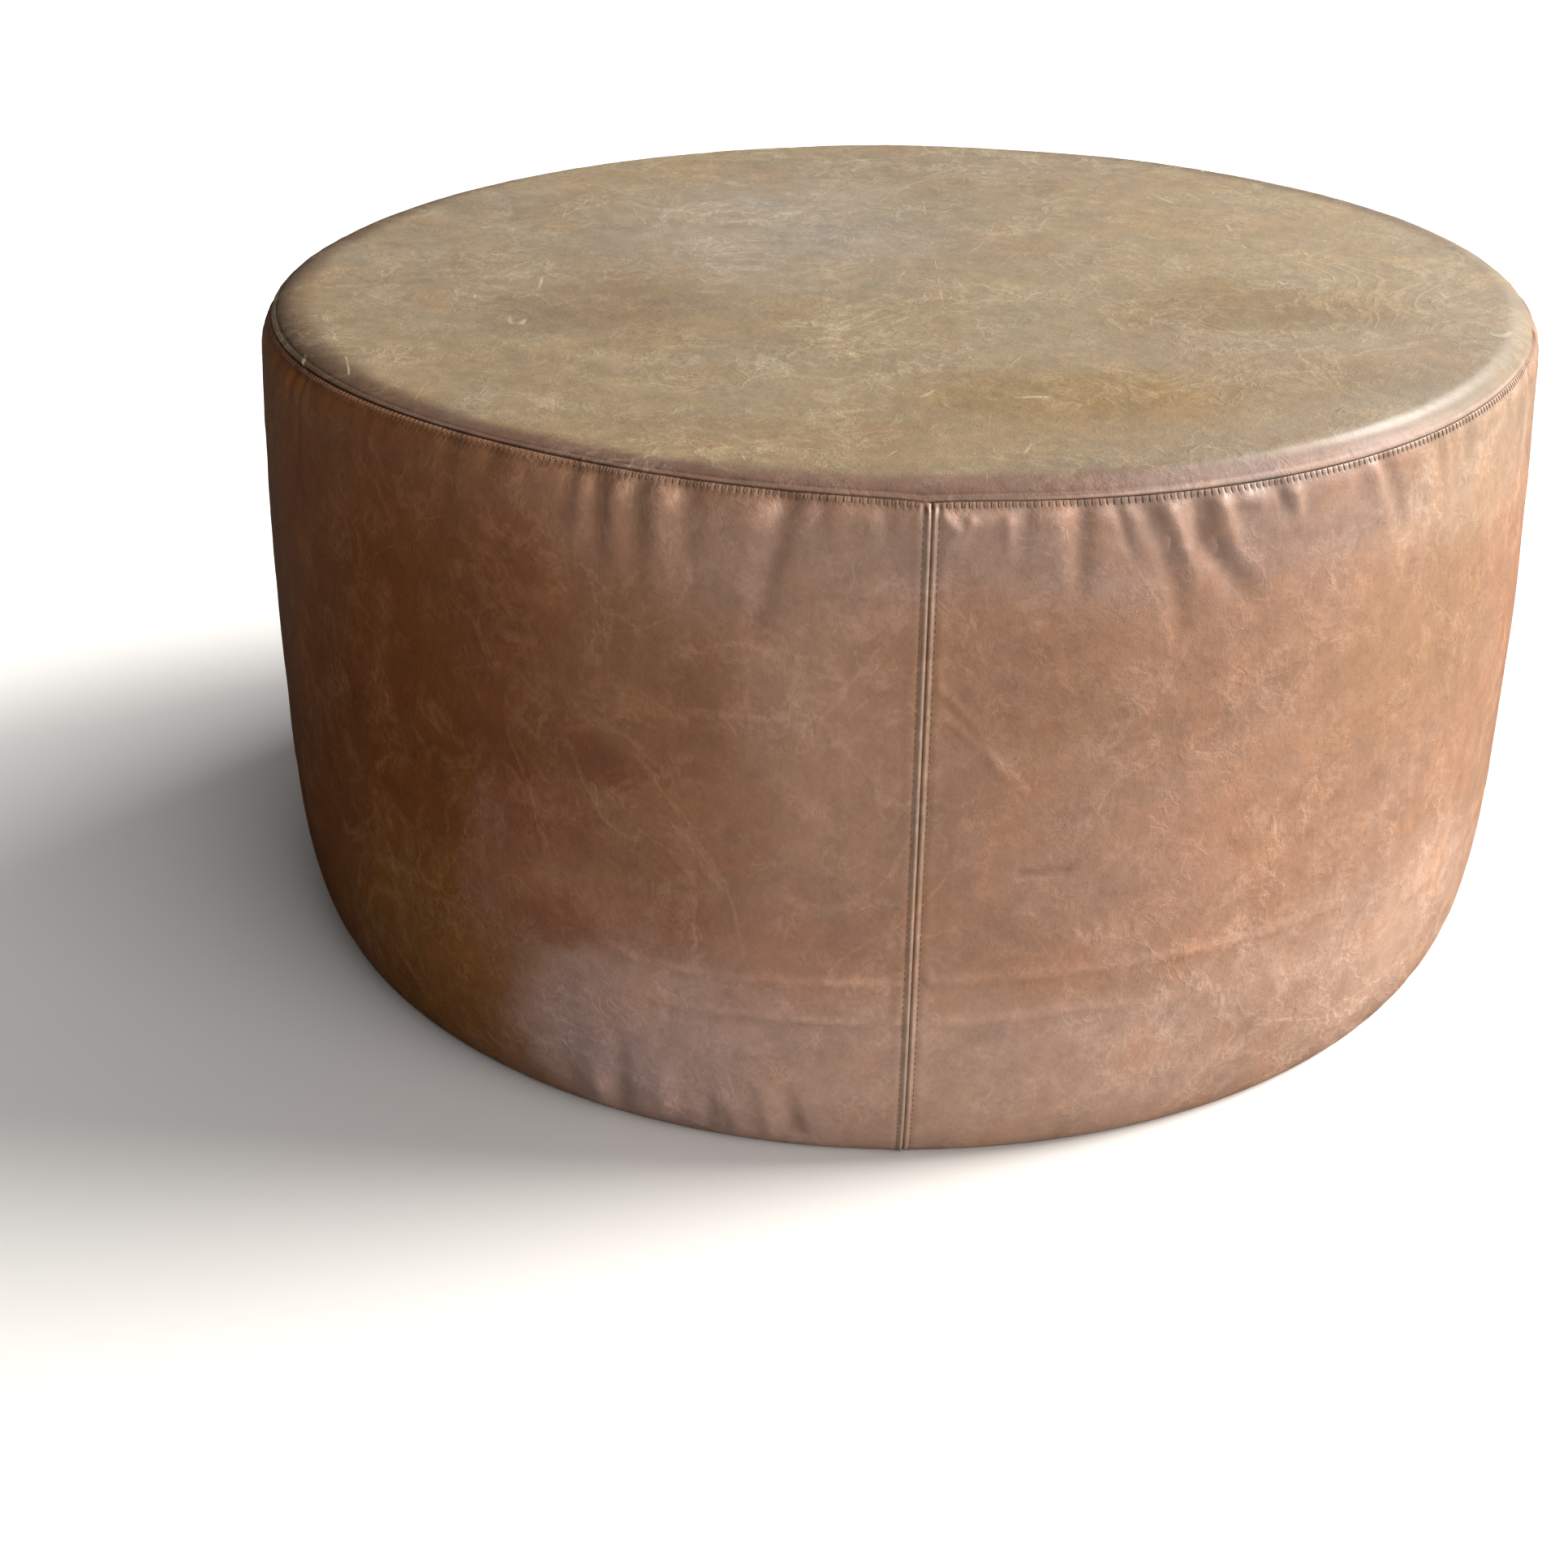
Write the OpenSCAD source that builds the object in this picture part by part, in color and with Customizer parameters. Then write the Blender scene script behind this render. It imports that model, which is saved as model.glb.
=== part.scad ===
// Round leather floor pouf: a panelled leather cover with a zip in its base, a calico liner,
// wadding and a foam block. Millimetres, +Z up, origin on the floor at the centre of the base.
// The front seam faces -Y. Every layer is the same outline, drawn further and further inside.

/* [Overall size] */
// Diameter of the top, measured across the turned-over edge
top_d = 860; // [700:10:1000]
// Height from the floor to the top
height = 430; // [380:10:500]
// Radius of the rolled edge around the top
roll_r = 22.4; // [19:0.2:30]
// How much wider the pouf is on each side near its foot than at its top
flare = 12.5; // [0:0.5:25]
// How far the side bows out between the top roll and the foot
bulge = 3.5; // [0:0.5:8]
// Height at which the side starts to turn in towards the floor
foot_rise = 106; // [60:2:140]
// How far the side turns in before it meets the floor
foot_in = 22; // [14:1:34]

/* [Leather cover] */
// Thickness of the leather
leather_t = 1.6; // [1.2:0.1:2.4]
// Height of the top seam below the top
seam_drop = 8; // [5:1:14]
// Distance of each stitch row from its seam
stitch_offset = 4; // [3:0.5:6]
// Thickness of the sewing thread
thread_t = 0.6; // [0.4:0.1:1]
// Width of the flat ring of leather that stands on the floor
foot_band = 16; // [10:1:30]
// Height of the base leather above the floor, so that the zip clears it
base_recess = 6.5; // [6.3:0.1:9]

/* [Filling] */
// Room between the leather and the liner, so that the leather can gather and fold
cover_gap = 3; // [0.5:0.5:4]
// Thickness of the calico liner
liner_t = 0.8; // [0.5:0.1:1.5]
// Thickness of the wadding
wadding_t = 12; // [8:1:15]
// Thickness of the soft foam layer under the top
topper_t = 50; // [30:5:80]
// Room left between neighbouring layers
layer_gap = 0.5; // [0.3:0.1:1]

/* [Zip] */
// Length of the toothed run
zip_l = 600; // [480:20:640]
// Distance from one tooth to the next in a row
tooth_pitch = 4; // [4:1:6]
// Thickness of a tooth
tooth_t = 3; // [2.6:0.1:3.2]
// Distance from the zip's middle to the outer end of a tooth
tooth_reach = 5.2; // [4.6:0.1:5.4]
// Half the width of the slit in the base leather
slit_half = 8.5; // [8:0.1:12]
// Width of each tape
tape_w = 16.8; // [14:0.2:22]
// Length of the slider
slider_l = 16; // [14:1:20]
// Length of the pull from its hinge
pull_l = 34; // [24:1:40]
// Clearance between the slider, the pull and what they pass
run_gap = 0.3; // [0.25:0.05:0.4]

/* [Hidden] */
$fn = 96;

top_r = top_d / 2;
foot_r = top_r + flare - foot_in;
reach = top_r + 100;
panel_angle = 90;
tiny = 0.05;
steps = 12;

// Depths of the layers inside the leather's outer face
liner_d = leather_t + cover_gap;
wadding_d = liner_d + liner_t + layer_gap;
foam_d = wadding_d + wadding_t + layer_gap;

// Heights of the pieces of the base, from the floor up
seam_z = height - seam_drop;
base_top = base_recess + leather_t;
tape_t = 0.8;
tape_z = base_top + 0.1;
tooth_z = tape_z + tape_t / 2 - tooth_t / 2;
plate_t = 1.5;
inner_plate_t = 1.2;
outer_plate_z = tooth_z - run_gap - plate_t;
inner_plate_z = tooth_z + tooth_t + run_gap;
liner_z = inner_plate_z + inner_plate_t + layer_gap;
foam_z = liner_z + liner_t + layer_gap;
topper_z = height - foam_d - topper_t;
seam_gap = 0.2;

// Zip slider and pull
slider_w = 14;
flange_in = tooth_reach + 0.4;
post_half = 0.4;
tooth_w = 2;
tooth_in = post_half + 0.4;
stop_l = 5;
slider_x = zip_l / 2 - slider_l / 2 - 2;
pull_t = 1.4;
hinge_z = outer_plate_z - run_gap - pull_t / 2;
crown_t = 0.9;
crown_w = 3;
crown_l = 12.4;
crown_post = 1.2;
crown_z = hinge_z - pull_t / 2 - run_gap - crown_t;
pull_w = 8;
loop_w = 4;
loop_l = 9;

// Radius of the side at share t of the way down from the top roll to the foot
function side_r(t) = top_r + flare * t + bulge * 4 * t * (1 - t);

// Angle by which the side leans out where it leaves the top roll
lean = atan((flare + 4 * bulge) / (height - roll_r - foot_rise));

// The top roll, a round arc, drawn depth d inside the leather
function roll_arc(d) = [for (i = [0:steps]) let (a = 90 - (90 - lean) * i / steps)
    [top_r - roll_r + (roll_r - d) * cos(a), height - roll_r + (roll_r - d) * sin(a)]];

// The almost straight side
function side_line(d) = [for (i = [1:steps - 1]) let (t = i / steps)
    [side_r(t) - d, height - roll_r + (foot_rise - height + roll_r) * t]];

// The foot, a quarter of an ellipse that moves in and gets shorter by the depth d
function foot_curve(d) = [for (i = [0:steps]) let (u = 90 * i / steps)
    [foot_r - d + foot_in * cos(u), foot_rise - (foot_rise - d) * sin(u)]];

function outline(d) = concat(roll_arc(d), side_line(d), foot_curve(d));

// Everything inside depth d, with no floor
module inside(d) {
    polygon(concat([[0, height - d]], outline(d), [[foot_r - d, -reach], [0, -reach]]));
}

// Half section of everything inside depth d, between two heights
module half_section(d, low, high) {
    intersection() {
        inside(d);
        translate([0, low]) square([reach, high - low]);
    }
}

// Half section of one layer of thickness t whose outer face is at depth d
module layer_section(d, t, low, high) {
    difference() {
        half_section(d, low, high);
        inside(d + t);
    }
}

function reversed(list) = [for (i = [len(list) - 1:-1:0]) list[i]];

module top_panel() {
    color("#a8906a") rotate_extrude() layer_section(0, leather_t, seam_z, height + 1);
}

// Half section of a side panel, down to the flat ring that stands on the floor
// and the turned-up edge inside it, which holds the base panels
module side_section() {
    edge = foot_r - foot_band;
    turned_edge = [[edge, 0], [edge, base_top], [edge + leather_t, base_top],
        [edge + leather_t, leather_t]];
    intersection() {
        polygon(concat(outline(0), turned_edge, reversed(outline(leather_t))));
        square([reach, seam_z - seam_gap]);
    }
}

// One side panel, from start degrees, with half a seam gap left at each end
module side_panel(start) {
    inset = (seam_gap / 2) / top_r * 180 / PI;
    color("#8a5a3c") rotate([0, 0, start + inset])
    rotate_extrude(angle = panel_angle - 2 * inset) side_section();
}
module side_panel_front_right() { side_panel(-90); }
module side_panel_back_right() { side_panel(0); }
module side_panel_back_left() { side_panel(90); }
module side_panel_front_left() { side_panel(180); }

// Half of the base disc, on the side that dir gives, with its half of the zip's slit
module base_panel(dir) {
    r = foot_r - foot_band - seam_gap;
    color("#6e4a33") translate([0, 0, base_recess]) linear_extrude(leather_t) difference() {
        intersection() {
            circle(r);
            translate([-r, dir > 0 ? seam_gap / 2 : -r]) square([2 * r, r - seam_gap / 2]);
        }
        square([zip_l + 2 * stop_l + 4, 2 * slit_half], center = true);
    }
}
module base_panel_front() { base_panel(-1); }
module base_panel_back() { base_panel(1); }

// A row of stitches right round the pouf
module ring_thread(r, z) {
    color("#5d3a26") rotate_extrude() translate([r, z]) circle(d = thread_t);
}
module top_seam_thread() {
    z = seam_z - 1.5;
    t = (height - roll_r - z) / (height - roll_r - foot_rise);
    r = t > 0 ? side_r(t) : top_r - roll_r + sqrt(pow(roll_r, 2) - pow(z - height + roll_r, 2));
    ring_thread(r + thread_t / 2 + tiny, z);
}
module base_seam_thread() {
    ring_thread(foot_r - foot_band - stitch_offset, base_recess - thread_t / 2 - tiny);
}

// The two rows of stitches beside an upright seam, which faces the direction given in degrees
module seam_thread(direction) {
    color("#5d3a26") rotate([0, 0, direction]) for (side = [-1, 1])
    translate([0, side * stitch_offset + thread_t / 2, 0]) rotate([90, 0, 0])
    linear_extrude(thread_t) difference() {
        half_section(-thread_t - tiny, stitch_offset, seam_z - stitch_offset);
        inside(-tiny);
    }
}
module front_seam_thread() { seam_thread(-90); }
module right_seam_thread() { seam_thread(0); }
module back_seam_thread() { seam_thread(90); }
module left_seam_thread() { seam_thread(180); }

// A bar along the zip, dir to one side of its middle, from y1 to y2 outwards
module zip_bar(dir, x1, x2, y1, y2, z, t) {
    translate([x1, dir > 0 ? y1 : -y2, z]) cube([x2 - x1, y2 - y1, t]);
}
module zip_tape(dir) {
    half = zip_l / 2 + stop_l + 10;
    color("#3b2c22") zip_bar(dir, -half, half, tooth_reach, tooth_reach + tape_w, tape_z, tape_t);
}
module zip_tape_front() { zip_tape(-1); }
module zip_tape_back() { zip_tape(1); }

module zip_stitching(dir) {
    y = slit_half + 2;
    half = zip_l / 2 + stop_l + 4;
    color("#5d3a26") zip_bar(dir, -half, half, y, y + thread_t, base_recess - tiny - 0.4, 0.4);
}
module zip_stitching_front() { zip_stitching(-1); }
module zip_stitching_back() { zip_stitching(1); }

// One row of teeth. The two rows stand half a pitch apart and leave room for the slider's post.
module zip_teeth(dir) {
    first = -zip_l / 2 + (dir > 0 ? tooth_pitch / 2 : 0);
    color("#9a7b3c") for (x = [first:tooth_pitch:zip_l / 2 - tooth_w])
        zip_bar(dir, x, x + tooth_w, tooth_in, tooth_reach, tooth_z, tooth_t);
}
module zip_teeth_front() { zip_teeth(-1); }
module zip_teeth_back() { zip_teeth(1); }

module zip_top_stops() {
    x = zip_l / 2 + 1;
    color("#9a7b3c") for (dir = [-1, 1])
        zip_bar(dir, x, x + stop_l, tooth_in, tooth_reach, tooth_z, tooth_t);
}
module zip_bottom_stop() {
    x = -zip_l / 2 - 1 - stop_l;
    color("#9a7b3c") zip_bar(1, x, x + stop_l, -tooth_reach, tooth_reach, tooth_z, tooth_t);
}

// A flat plate with round corners
module rounded_plate(l, w, r, t) {
    linear_extrude(t) {
        square([l - 2 * r, w], center = true);
        square([l, w - 2 * r], center = true);
        for (x = [-1, 1], y = [-1, 1]) translate([x * (l / 2 - r), y * (w / 2 - r)]) circle(r);
    }
}

// Two plates with turned-in edges, a thin post between them and a crown that holds the pull
module zip_slider() {
    outer_edge = tape_z - run_gap - outer_plate_z;
    inner_edge = inner_plate_z - tape_z - tape_t - run_gap;
    edge_l = slider_l - 4;
    color("#b08d4a") translate([slider_x, 0, 0]) {
        translate([0, 0, outer_plate_z]) rounded_plate(slider_l, slider_w, 2, plate_t);
        translate([0, 0, inner_plate_z]) rounded_plate(slider_l, slider_w, 2, inner_plate_t);
        translate([slider_l / 2 - 5, -post_half, outer_plate_z]) cube([4, 2 * post_half,
            inner_plate_z + inner_plate_t - outer_plate_z]);
        for (dir = [-1, 1]) {
            zip_bar(dir, -edge_l / 2, edge_l / 2, flange_in, slider_w / 2, outer_plate_z, outer_edge);
            zip_bar(dir, -edge_l / 2, edge_l / 2, flange_in, slider_w / 2,
                inner_plate_z - inner_edge, inner_edge + inner_plate_t);
            translate([dir > 0 ? crown_l / 2 - crown_post : -crown_l / 2, -crown_w / 2, crown_z])
                cube([crown_post, crown_w, outer_plate_z - crown_z + tiny]);
        }
        translate([-crown_l / 2, -crown_w / 2, crown_z]) cube([crown_l, crown_w, crown_t]);
    }
}

// The pull: a round cross bar under the crown, two arms beside it and a tab
module zip_pull() {
    arm_w = (pull_w - loop_w) / 2;
    corner_r = 2;
    tab_l = pull_l - loop_l;
    hole_r = 1.5;
    color("#b08d4a") translate([slider_x, 0, hinge_z]) {
        rotate([90, 0, 0]) cylinder(d = pull_t, h = pull_w, center = true);
        for (dir = [-1, 1])
            zip_bar(dir, -loop_l - corner_r, 0, loop_w / 2, loop_w / 2 + arm_w, -pull_t / 2, pull_t);
        translate([-loop_l - tab_l / 2, 0, -pull_t / 2]) difference() {
            rounded_plate(tab_l, pull_w, corner_r, pull_t);
            translate([-tab_l / 2 + 5, 0, -1]) cylinder(r = hole_r, h = pull_t + 2);
        }
    }
}

// The liner, cut like the cover: a top, a band and a base
module liner_top() {
    color("#e6ddc8") rotate_extrude()
        layer_section(liner_d, liner_t, height - roll_r, height);
}
module liner_side() {
    color("#e6ddc8") rotate_extrude()
        layer_section(liner_d, liner_t, foam_z, height - roll_r - seam_gap);
}
module liner_base() {
    color("#e6ddc8") rotate_extrude() half_section(liner_d, liner_z, liner_z + liner_t);
}

module wadding_top() {
    color("#f4f2ec") rotate_extrude() half_section(wadding_d, height - foam_d + layer_gap, height);
}
module wadding_side() {
    color("#f4f2ec") rotate_extrude()
        layer_section(wadding_d, wadding_t, foam_z, height - foam_d);
}

module foam_topper() {
    color("#f0e3b6") rotate_extrude() half_section(foam_d, topper_z + layer_gap, height - foam_d);
}
module foam_core() {
    color("#e3cf95") rotate_extrude() half_section(foam_d, foam_z, topper_z);
}

top_panel();
side_panel_front_right();
side_panel_back_right();
side_panel_back_left();
side_panel_front_left();
base_panel_front();
base_panel_back();
top_seam_thread();
front_seam_thread();
right_seam_thread();
back_seam_thread();
left_seam_thread();
base_seam_thread();
zip_tape_front();
zip_tape_back();
zip_stitching_front();
zip_stitching_back();
zip_teeth_front();
zip_teeth_back();
zip_top_stops();
zip_bottom_stop();
zip_slider();
zip_pull();
liner_top();
liner_side();
liner_base();
wadding_top();
wadding_side();
foam_topper();
foam_core();
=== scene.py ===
# %% [markdown]
# # A round leather pouf, made with numpy surfaces in Blender
#
# The real pouf is a drum of foam in a cotton liner, inside a cover of vegetable-tanned leather: one
# round panel on top, four upright panels round the side, and a base of two halves with a zip between
# them. This lesson loads the engineer's model as a fixed frame, then makes every visible piece again
# with the folds, seams, stitches and worn leather of the real one.

# %% Load the frame
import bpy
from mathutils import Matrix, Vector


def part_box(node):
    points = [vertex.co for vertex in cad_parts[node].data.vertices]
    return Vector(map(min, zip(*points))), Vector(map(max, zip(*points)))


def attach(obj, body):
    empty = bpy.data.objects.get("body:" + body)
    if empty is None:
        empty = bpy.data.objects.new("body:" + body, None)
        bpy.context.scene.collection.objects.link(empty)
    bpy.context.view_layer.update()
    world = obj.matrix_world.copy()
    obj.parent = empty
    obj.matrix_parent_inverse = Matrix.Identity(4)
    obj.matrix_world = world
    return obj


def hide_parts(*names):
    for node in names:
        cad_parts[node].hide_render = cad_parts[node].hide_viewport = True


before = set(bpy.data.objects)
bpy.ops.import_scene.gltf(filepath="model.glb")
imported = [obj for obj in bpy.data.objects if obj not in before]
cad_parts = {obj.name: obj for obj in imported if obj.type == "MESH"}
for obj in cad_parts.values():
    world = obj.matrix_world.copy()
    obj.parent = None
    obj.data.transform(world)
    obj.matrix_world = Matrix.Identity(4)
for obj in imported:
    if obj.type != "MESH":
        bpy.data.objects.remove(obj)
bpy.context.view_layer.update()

# %% Tools used by every cell
import math

import bpy
import numpy as np
from mathutils import Matrix, Vector

MM = 0.001
TURN = 2 * np.pi

# %% [markdown]
# ## The sizes
#
# Blender works in metres, but a maker thinks in millimetres, so all the numbers here are millimetres
# and each mesh is scaled once, when it is made. The heights and radii come from the frame, and the few
# that a box can't give, such as the radius of the rolled edge, are the design's own sizes.

# %% Sizes of the cover
roll_r = 22.4  # the rolled edge of the top
flare = 12.5  # how much wider the side is at the foot than at the top
bulge = 3.5  # and how far it bows out between them
foot_rise = 106.0  # where the side starts to turn under
foot_in = 22.0  # how far it turns in
leather_t = 1.6
foot_band = 16.0  # width of the ring that stands on the floor
base_recess = 6.5  # the base leather over the floor
stitch_offset = 4.0  # from an upright seam to its stitch rows

top_low, top_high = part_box("top_panel")
height = top_high.z / MM
seam_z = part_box("side_panel_front_right")[1].z / MM
roll_z = height - roll_r
rim_r = top_high.x / MM - math.sqrt(roll_r ** 2 - (top_low.z / MM - roll_z) ** 2)
top_r = rim_r + roll_r
foot_r = top_r + flare - foot_in
print("height", round(height, 1), "top radius", round(top_r, 1), "seam height", round(seam_z, 1))

# %% [markdown]
# ## The outline
#
# Cut the pouf in half and its outside is one line: flat from the middle, round the rolled edge, down
# the side that bows out a little, round the foot and in along the floor. A spline could be drawn by
# hand, but a formula for each stretch keeps the piece true to the design. The line is worked out once
# as many short steps with its length measured along it, and every panel then asks for the point at a
# given length. That is how a leather worker measures too, with a tape laid over the shape.

# %% The outline, measured along its length
def outline():
    """Flat top, quarter arc of the roll, side r = top + flare t + 4 bulge t (1 - t), quarter ellipse of
    the foot, flat foot band, and a small arc up into the base. Returns radius, height and tape length."""
    lean = math.atan((flare + 4 * bulge) / (roll_z - foot_rise))
    flat = np.stack([np.linspace(0, rim_r, 200), np.full(200, height)], 1)
    a = np.linspace(np.pi / 2, lean, 120)[1:]
    roll = np.stack([rim_r + roll_r * np.cos(a), roll_z + roll_r * np.sin(a)], 1)
    t = np.linspace(0, 1, 200)[8:]
    side = np.stack([top_r + flare * t + 4 * bulge * t * (1 - t), roll_z + (foot_rise - roll_z) * t], 1)
    u = np.linspace(0, np.pi / 2, 160)[1:]
    foot = np.stack([foot_r + foot_in * np.cos(u), foot_rise * (1 - np.sin(u))], 1)
    inner_r = foot_r - foot_band
    fold = 1.6
    band = np.stack([np.linspace(foot_r, inner_r + fold, 20)[1:], np.zeros(19)], 1)
    b = np.linspace(-np.pi / 2, -np.pi, 12)[1:]
    turn = np.stack([inner_r + fold + fold * np.cos(b), fold + fold * np.sin(b)], 1)
    rise = np.stack([np.full(8, inner_r), np.linspace(fold, base_recess + leather_t, 9)[1:]], 1)
    line = np.concatenate([flat, roll, side, foot, band, turn, rise])
    tape = np.concatenate([[0], np.cumsum(np.hypot(*np.diff(line, axis=0).T))])
    return line[:, 0], line[:, 1], tape


line_r, line_z, line_tape = outline()
normal_r = -np.gradient(line_z, line_tape)
normal_z = np.gradient(line_r, line_tape)
tape_end = line_tape[-1]
floor_tape = line_tape[np.argmax(line_z < 1e-6)]
falling = (line_tape >= rim_r - 1) & (line_tape <= floor_tape)
print("tape from the middle of the top to the base seam:", round(tape_end, 1), "mm")


def tape_of_height(z):
    """Tape length at which the outline comes down to a height."""
    return np.interp(-np.asarray(z, float), -line_z[falling], line_tape[falling])


def on_cover(angle, tape, out):
    """The point at a turn angle and a tape length, raised by out along the outline's own normal."""
    r = np.interp(tape, line_tape, line_r) + out * np.interp(tape, line_tape, normal_r)
    z = np.interp(tape, line_tape, line_z) + out * np.interp(tape, line_tape, normal_z)
    return np.stack([r * np.cos(angle), r * np.sin(angle), z], -1)

# %% [markdown]
# ## Chance that repeats
#
# Hide is never even, so many steps need soft random values. Blender has noise for materials, but the
# shape needs it too, so here is a small lattice noise: random numbers on the corners of a grid of
# cubes, blended smoothly between the corners. It is made with a seed, so each run gives the same pouf.

# %% Soft noise
def cloud(points, size, seed):
    """Lattice noise from -1 to 1: corner values of a cube grid of the given size, blended by the smooth
    step 3 s^2 - 2 s^3 along each axis."""
    place = points / np.asarray(size, float)
    corner = np.floor(place).astype(int)
    share = place - corner
    share = share * share * (3 - 2 * share)
    table = np.random.default_rng(seed).uniform(-1, 1, (64, 64, 64))
    total = np.zeros(points.shape[:-1])
    for dx in (0, 1):
        for dy in (0, 1):
            for dz in (0, 1):
                weight = np.ones(points.shape[:-1])
                for axis, step in enumerate((dx, dy, dz)):
                    weight = weight * (share[..., axis] if step else 1 - share[..., axis])
                at = (corner + (dx, dy, dz)) % 64
                total += weight * table[at[..., 0], at[..., 1], at[..., 2]]
    return total


def rough_cloud(points, size, seed):
    """Three layers of noise, each half the size and half the strength of the one before."""
    size = np.asarray(size, float)
    return (cloud(points, size, seed) + cloud(points, size / 2, seed + 1) / 2
            + cloud(points, size / 4, seed + 2) / 4) / 1.75


def smooth_step(low, high, value):
    """0 below low, 1 above high, 3 s^2 - 2 s^3 between them."""
    s = np.clip((value - low) / (high - low), 0, 1)
    return s * s * (3 - 2 * s)

# %% [markdown]
# ## Folds, gathers and dents
#
# The side leather is cut a little longer than the seam it is sewn to, so it gathers under the top
# seam, and years of sitting have pressed creases into it near the floor. Sculpting would make them by
# hand. Here each one is a stroke: a line of a few points on the unrolled side, with a width and a
# height that fades from its head to its tail. The unrolled side has two coordinates: the arc, measured
# round from the front seam, positive to the right, and the height above the floor.

# %% One stroke
def stroke(arc, z, points, width, head, tail):
    """Height of one stroke: exp(-d^2), where d is the distance from its line in widths, times a strength
    that goes from head to tail along the line."""
    points = np.asarray(points, float)
    pieces = np.diff(points, axis=0)
    lengths = np.hypot(*pieces.T)
    start = np.concatenate([[0], np.cumsum(lengths)])
    best = np.full(arc.shape, 1e9)
    along = np.zeros(arc.shape)
    for point, piece, length, done in zip(points, pieces, lengths, start):
        da, dz = arc - point[0], z - point[1]
        t = np.clip((da * piece[0] + dz * piece[1]) / length ** 2, 0, 1)
        far = np.hypot(da - t * piece[0], dz - t * piece[1])
        along = np.where(far < best, (done + t * length) / start[-1], along)
        best = np.minimum(far, best)
    return (head + (tail - head) * along) * np.exp(-(best / width) ** 2)

# %% The strokes that can be seen from the front: points, width, height at the head and tail
VALLEYS = [
    ([(-284, 424), (-282, 392)], 9, -0.9, -0.3),
    ([(-252, 424), (-250, 398)], 7, -0.6, -0.1),
    ([(-198, 424), (-200, 392)], 6, -1.0, -0.3),
    ([(-181, 424), (-180, 376)], 6.5, -1.7, -0.4),
    ([(-156, 424), (-155, 372)], 6.5, -2.1, -0.5),
    ([(-128, 424), (-127, 374)], 7, -2.0, -0.3),
    ([(-72, 424), (-78, 395), (-90, 350)], 6, -2.2, -0.5),
    ([(-54, 423), (-55, 398)], 4.5, -0.8, -0.1),
    ([(-21, 422), (-20, 396)], 5, -0.7, -0.1),
    ([(52, 422), (50, 384)], 6, -1.2, -0.3),
    ([(83, 422), (82, 372)], 6, -1.6, -0.3),
    ([(101, 420), (111, 389)], 3.5, -1.3, -0.3),
    ([(117, 420), (130, 396), (141, 345)], 6, -2.1, -0.5),
    ([(149, 420), (155, 394), (170, 372), (187, 350)], 6.5, -2.6, -0.5),
    ([(199, 418), (206, 397)], 4.5, -1.5, -0.2),
    ([(258, 418), (256, 392)], 6, -1.2, -0.2),
    ([(279, 418), (293, 386), (299, 370)], 6, -1.6, -0.3),
    ([(330, 418), (336, 384)], 6, -1.3, -0.2),
    ([(-217, 6), (-213, 42)], 7, -1.3, -0.3),
    ([(-181, 8), (-176, 64)], 6.5, -1.5, -0.3),
    ([(-124, 4), (-121, 42)], 6, -2.2, -0.3),
    ([(-68, 20), (-73, 48)], 5.5, -2.4, -0.6),
    ([(94, 6), (90, 30)], 5, -1.2, -0.1),
    ([(57, 206.5), (70, 205), (83, 206)], 2.2, -1.3, -0.9),
    ([(-142, 99), (-70, 101), (-7, 103)], 4, -0.9, -0.7),
]
RIDGES = [
    ([(-144, 418), (-142, 374)], 6.5, 1.0, 0.3),
    ([(-170, 416), (-169, 380)], 6, 0.8, 0.2),
    ([(-190, 416), (-191, 380)], 6, 0.7, 0.1),
    ([(-88, 412), (-94, 380)], 9, 0.9, 0.2),
    ([(70, 416), (70, 380)], 8, 0.8, 0.2),
    ([(131, 412), (141, 390), (152, 368)], 5, 1.3, 0.3),
    ([(162, 414), (172, 386), (196, 362)], 6, 1.2, 0.3),
    ([(178, 414), (186, 411)], 6, 1.1, 0.8),
    ([(211, 410), (216, 392)], 4.5, 0.9, 0.2),
    ([(268, 414), (281, 385)], 6, 0.9, 0.3),
    ([(9, 417), (16, 410), (13, 401)], 3, 1.0, 0.5),
    ([(24, 414), (16, 398)], 3, 0.7, 0.2),
    ([(43, 414), (44, 394)], 3, 0.6, 0.2),
    ([(-186, 141), (-160, 134), (-100, 133), (-9, 136)], 2.6, 0.3, 1.1),
    ([(-150, 107), (-70, 107), (-9, 108)], 2.4, 0.3, 0.9),
    ([(9, 137), (120, 138), (278, 136)], 3.2, 0.7, 0.3),
    ([(12, 108), (90, 112), (190, 104)], 3.5, 0.6, 0.2),
    ([(12, 304), (36, 282), (58, 258)], 2.5, 0.5, 0.2),
    ([(9, 322), (28, 300), (44, 270)], 2.2, 0.4, 0.2),
    ([(-196, 8), (-193, 50)], 7, 1.4, 0.2),
    ([(-105, 8), (-108, 46)], 9, 1.2, 0.2),
    ([(-152, 10), (-148, 58)], 8, 1.2, 0.3),
    ([(-84, 14), (-86, 50)], 6, 1.1, 0.3),
]
print(len(VALLEYS), "valleys and", len(RIDGES), "ridges drawn by hand")

# %% [markdown]
# The back of the pouf is gathered in the same way, so chance draws the strokes there: one every
# couple of centimetres under the top seam, each with its own length, lean and depth, and a few short
# ones where the leather turns in at the foot.

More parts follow.
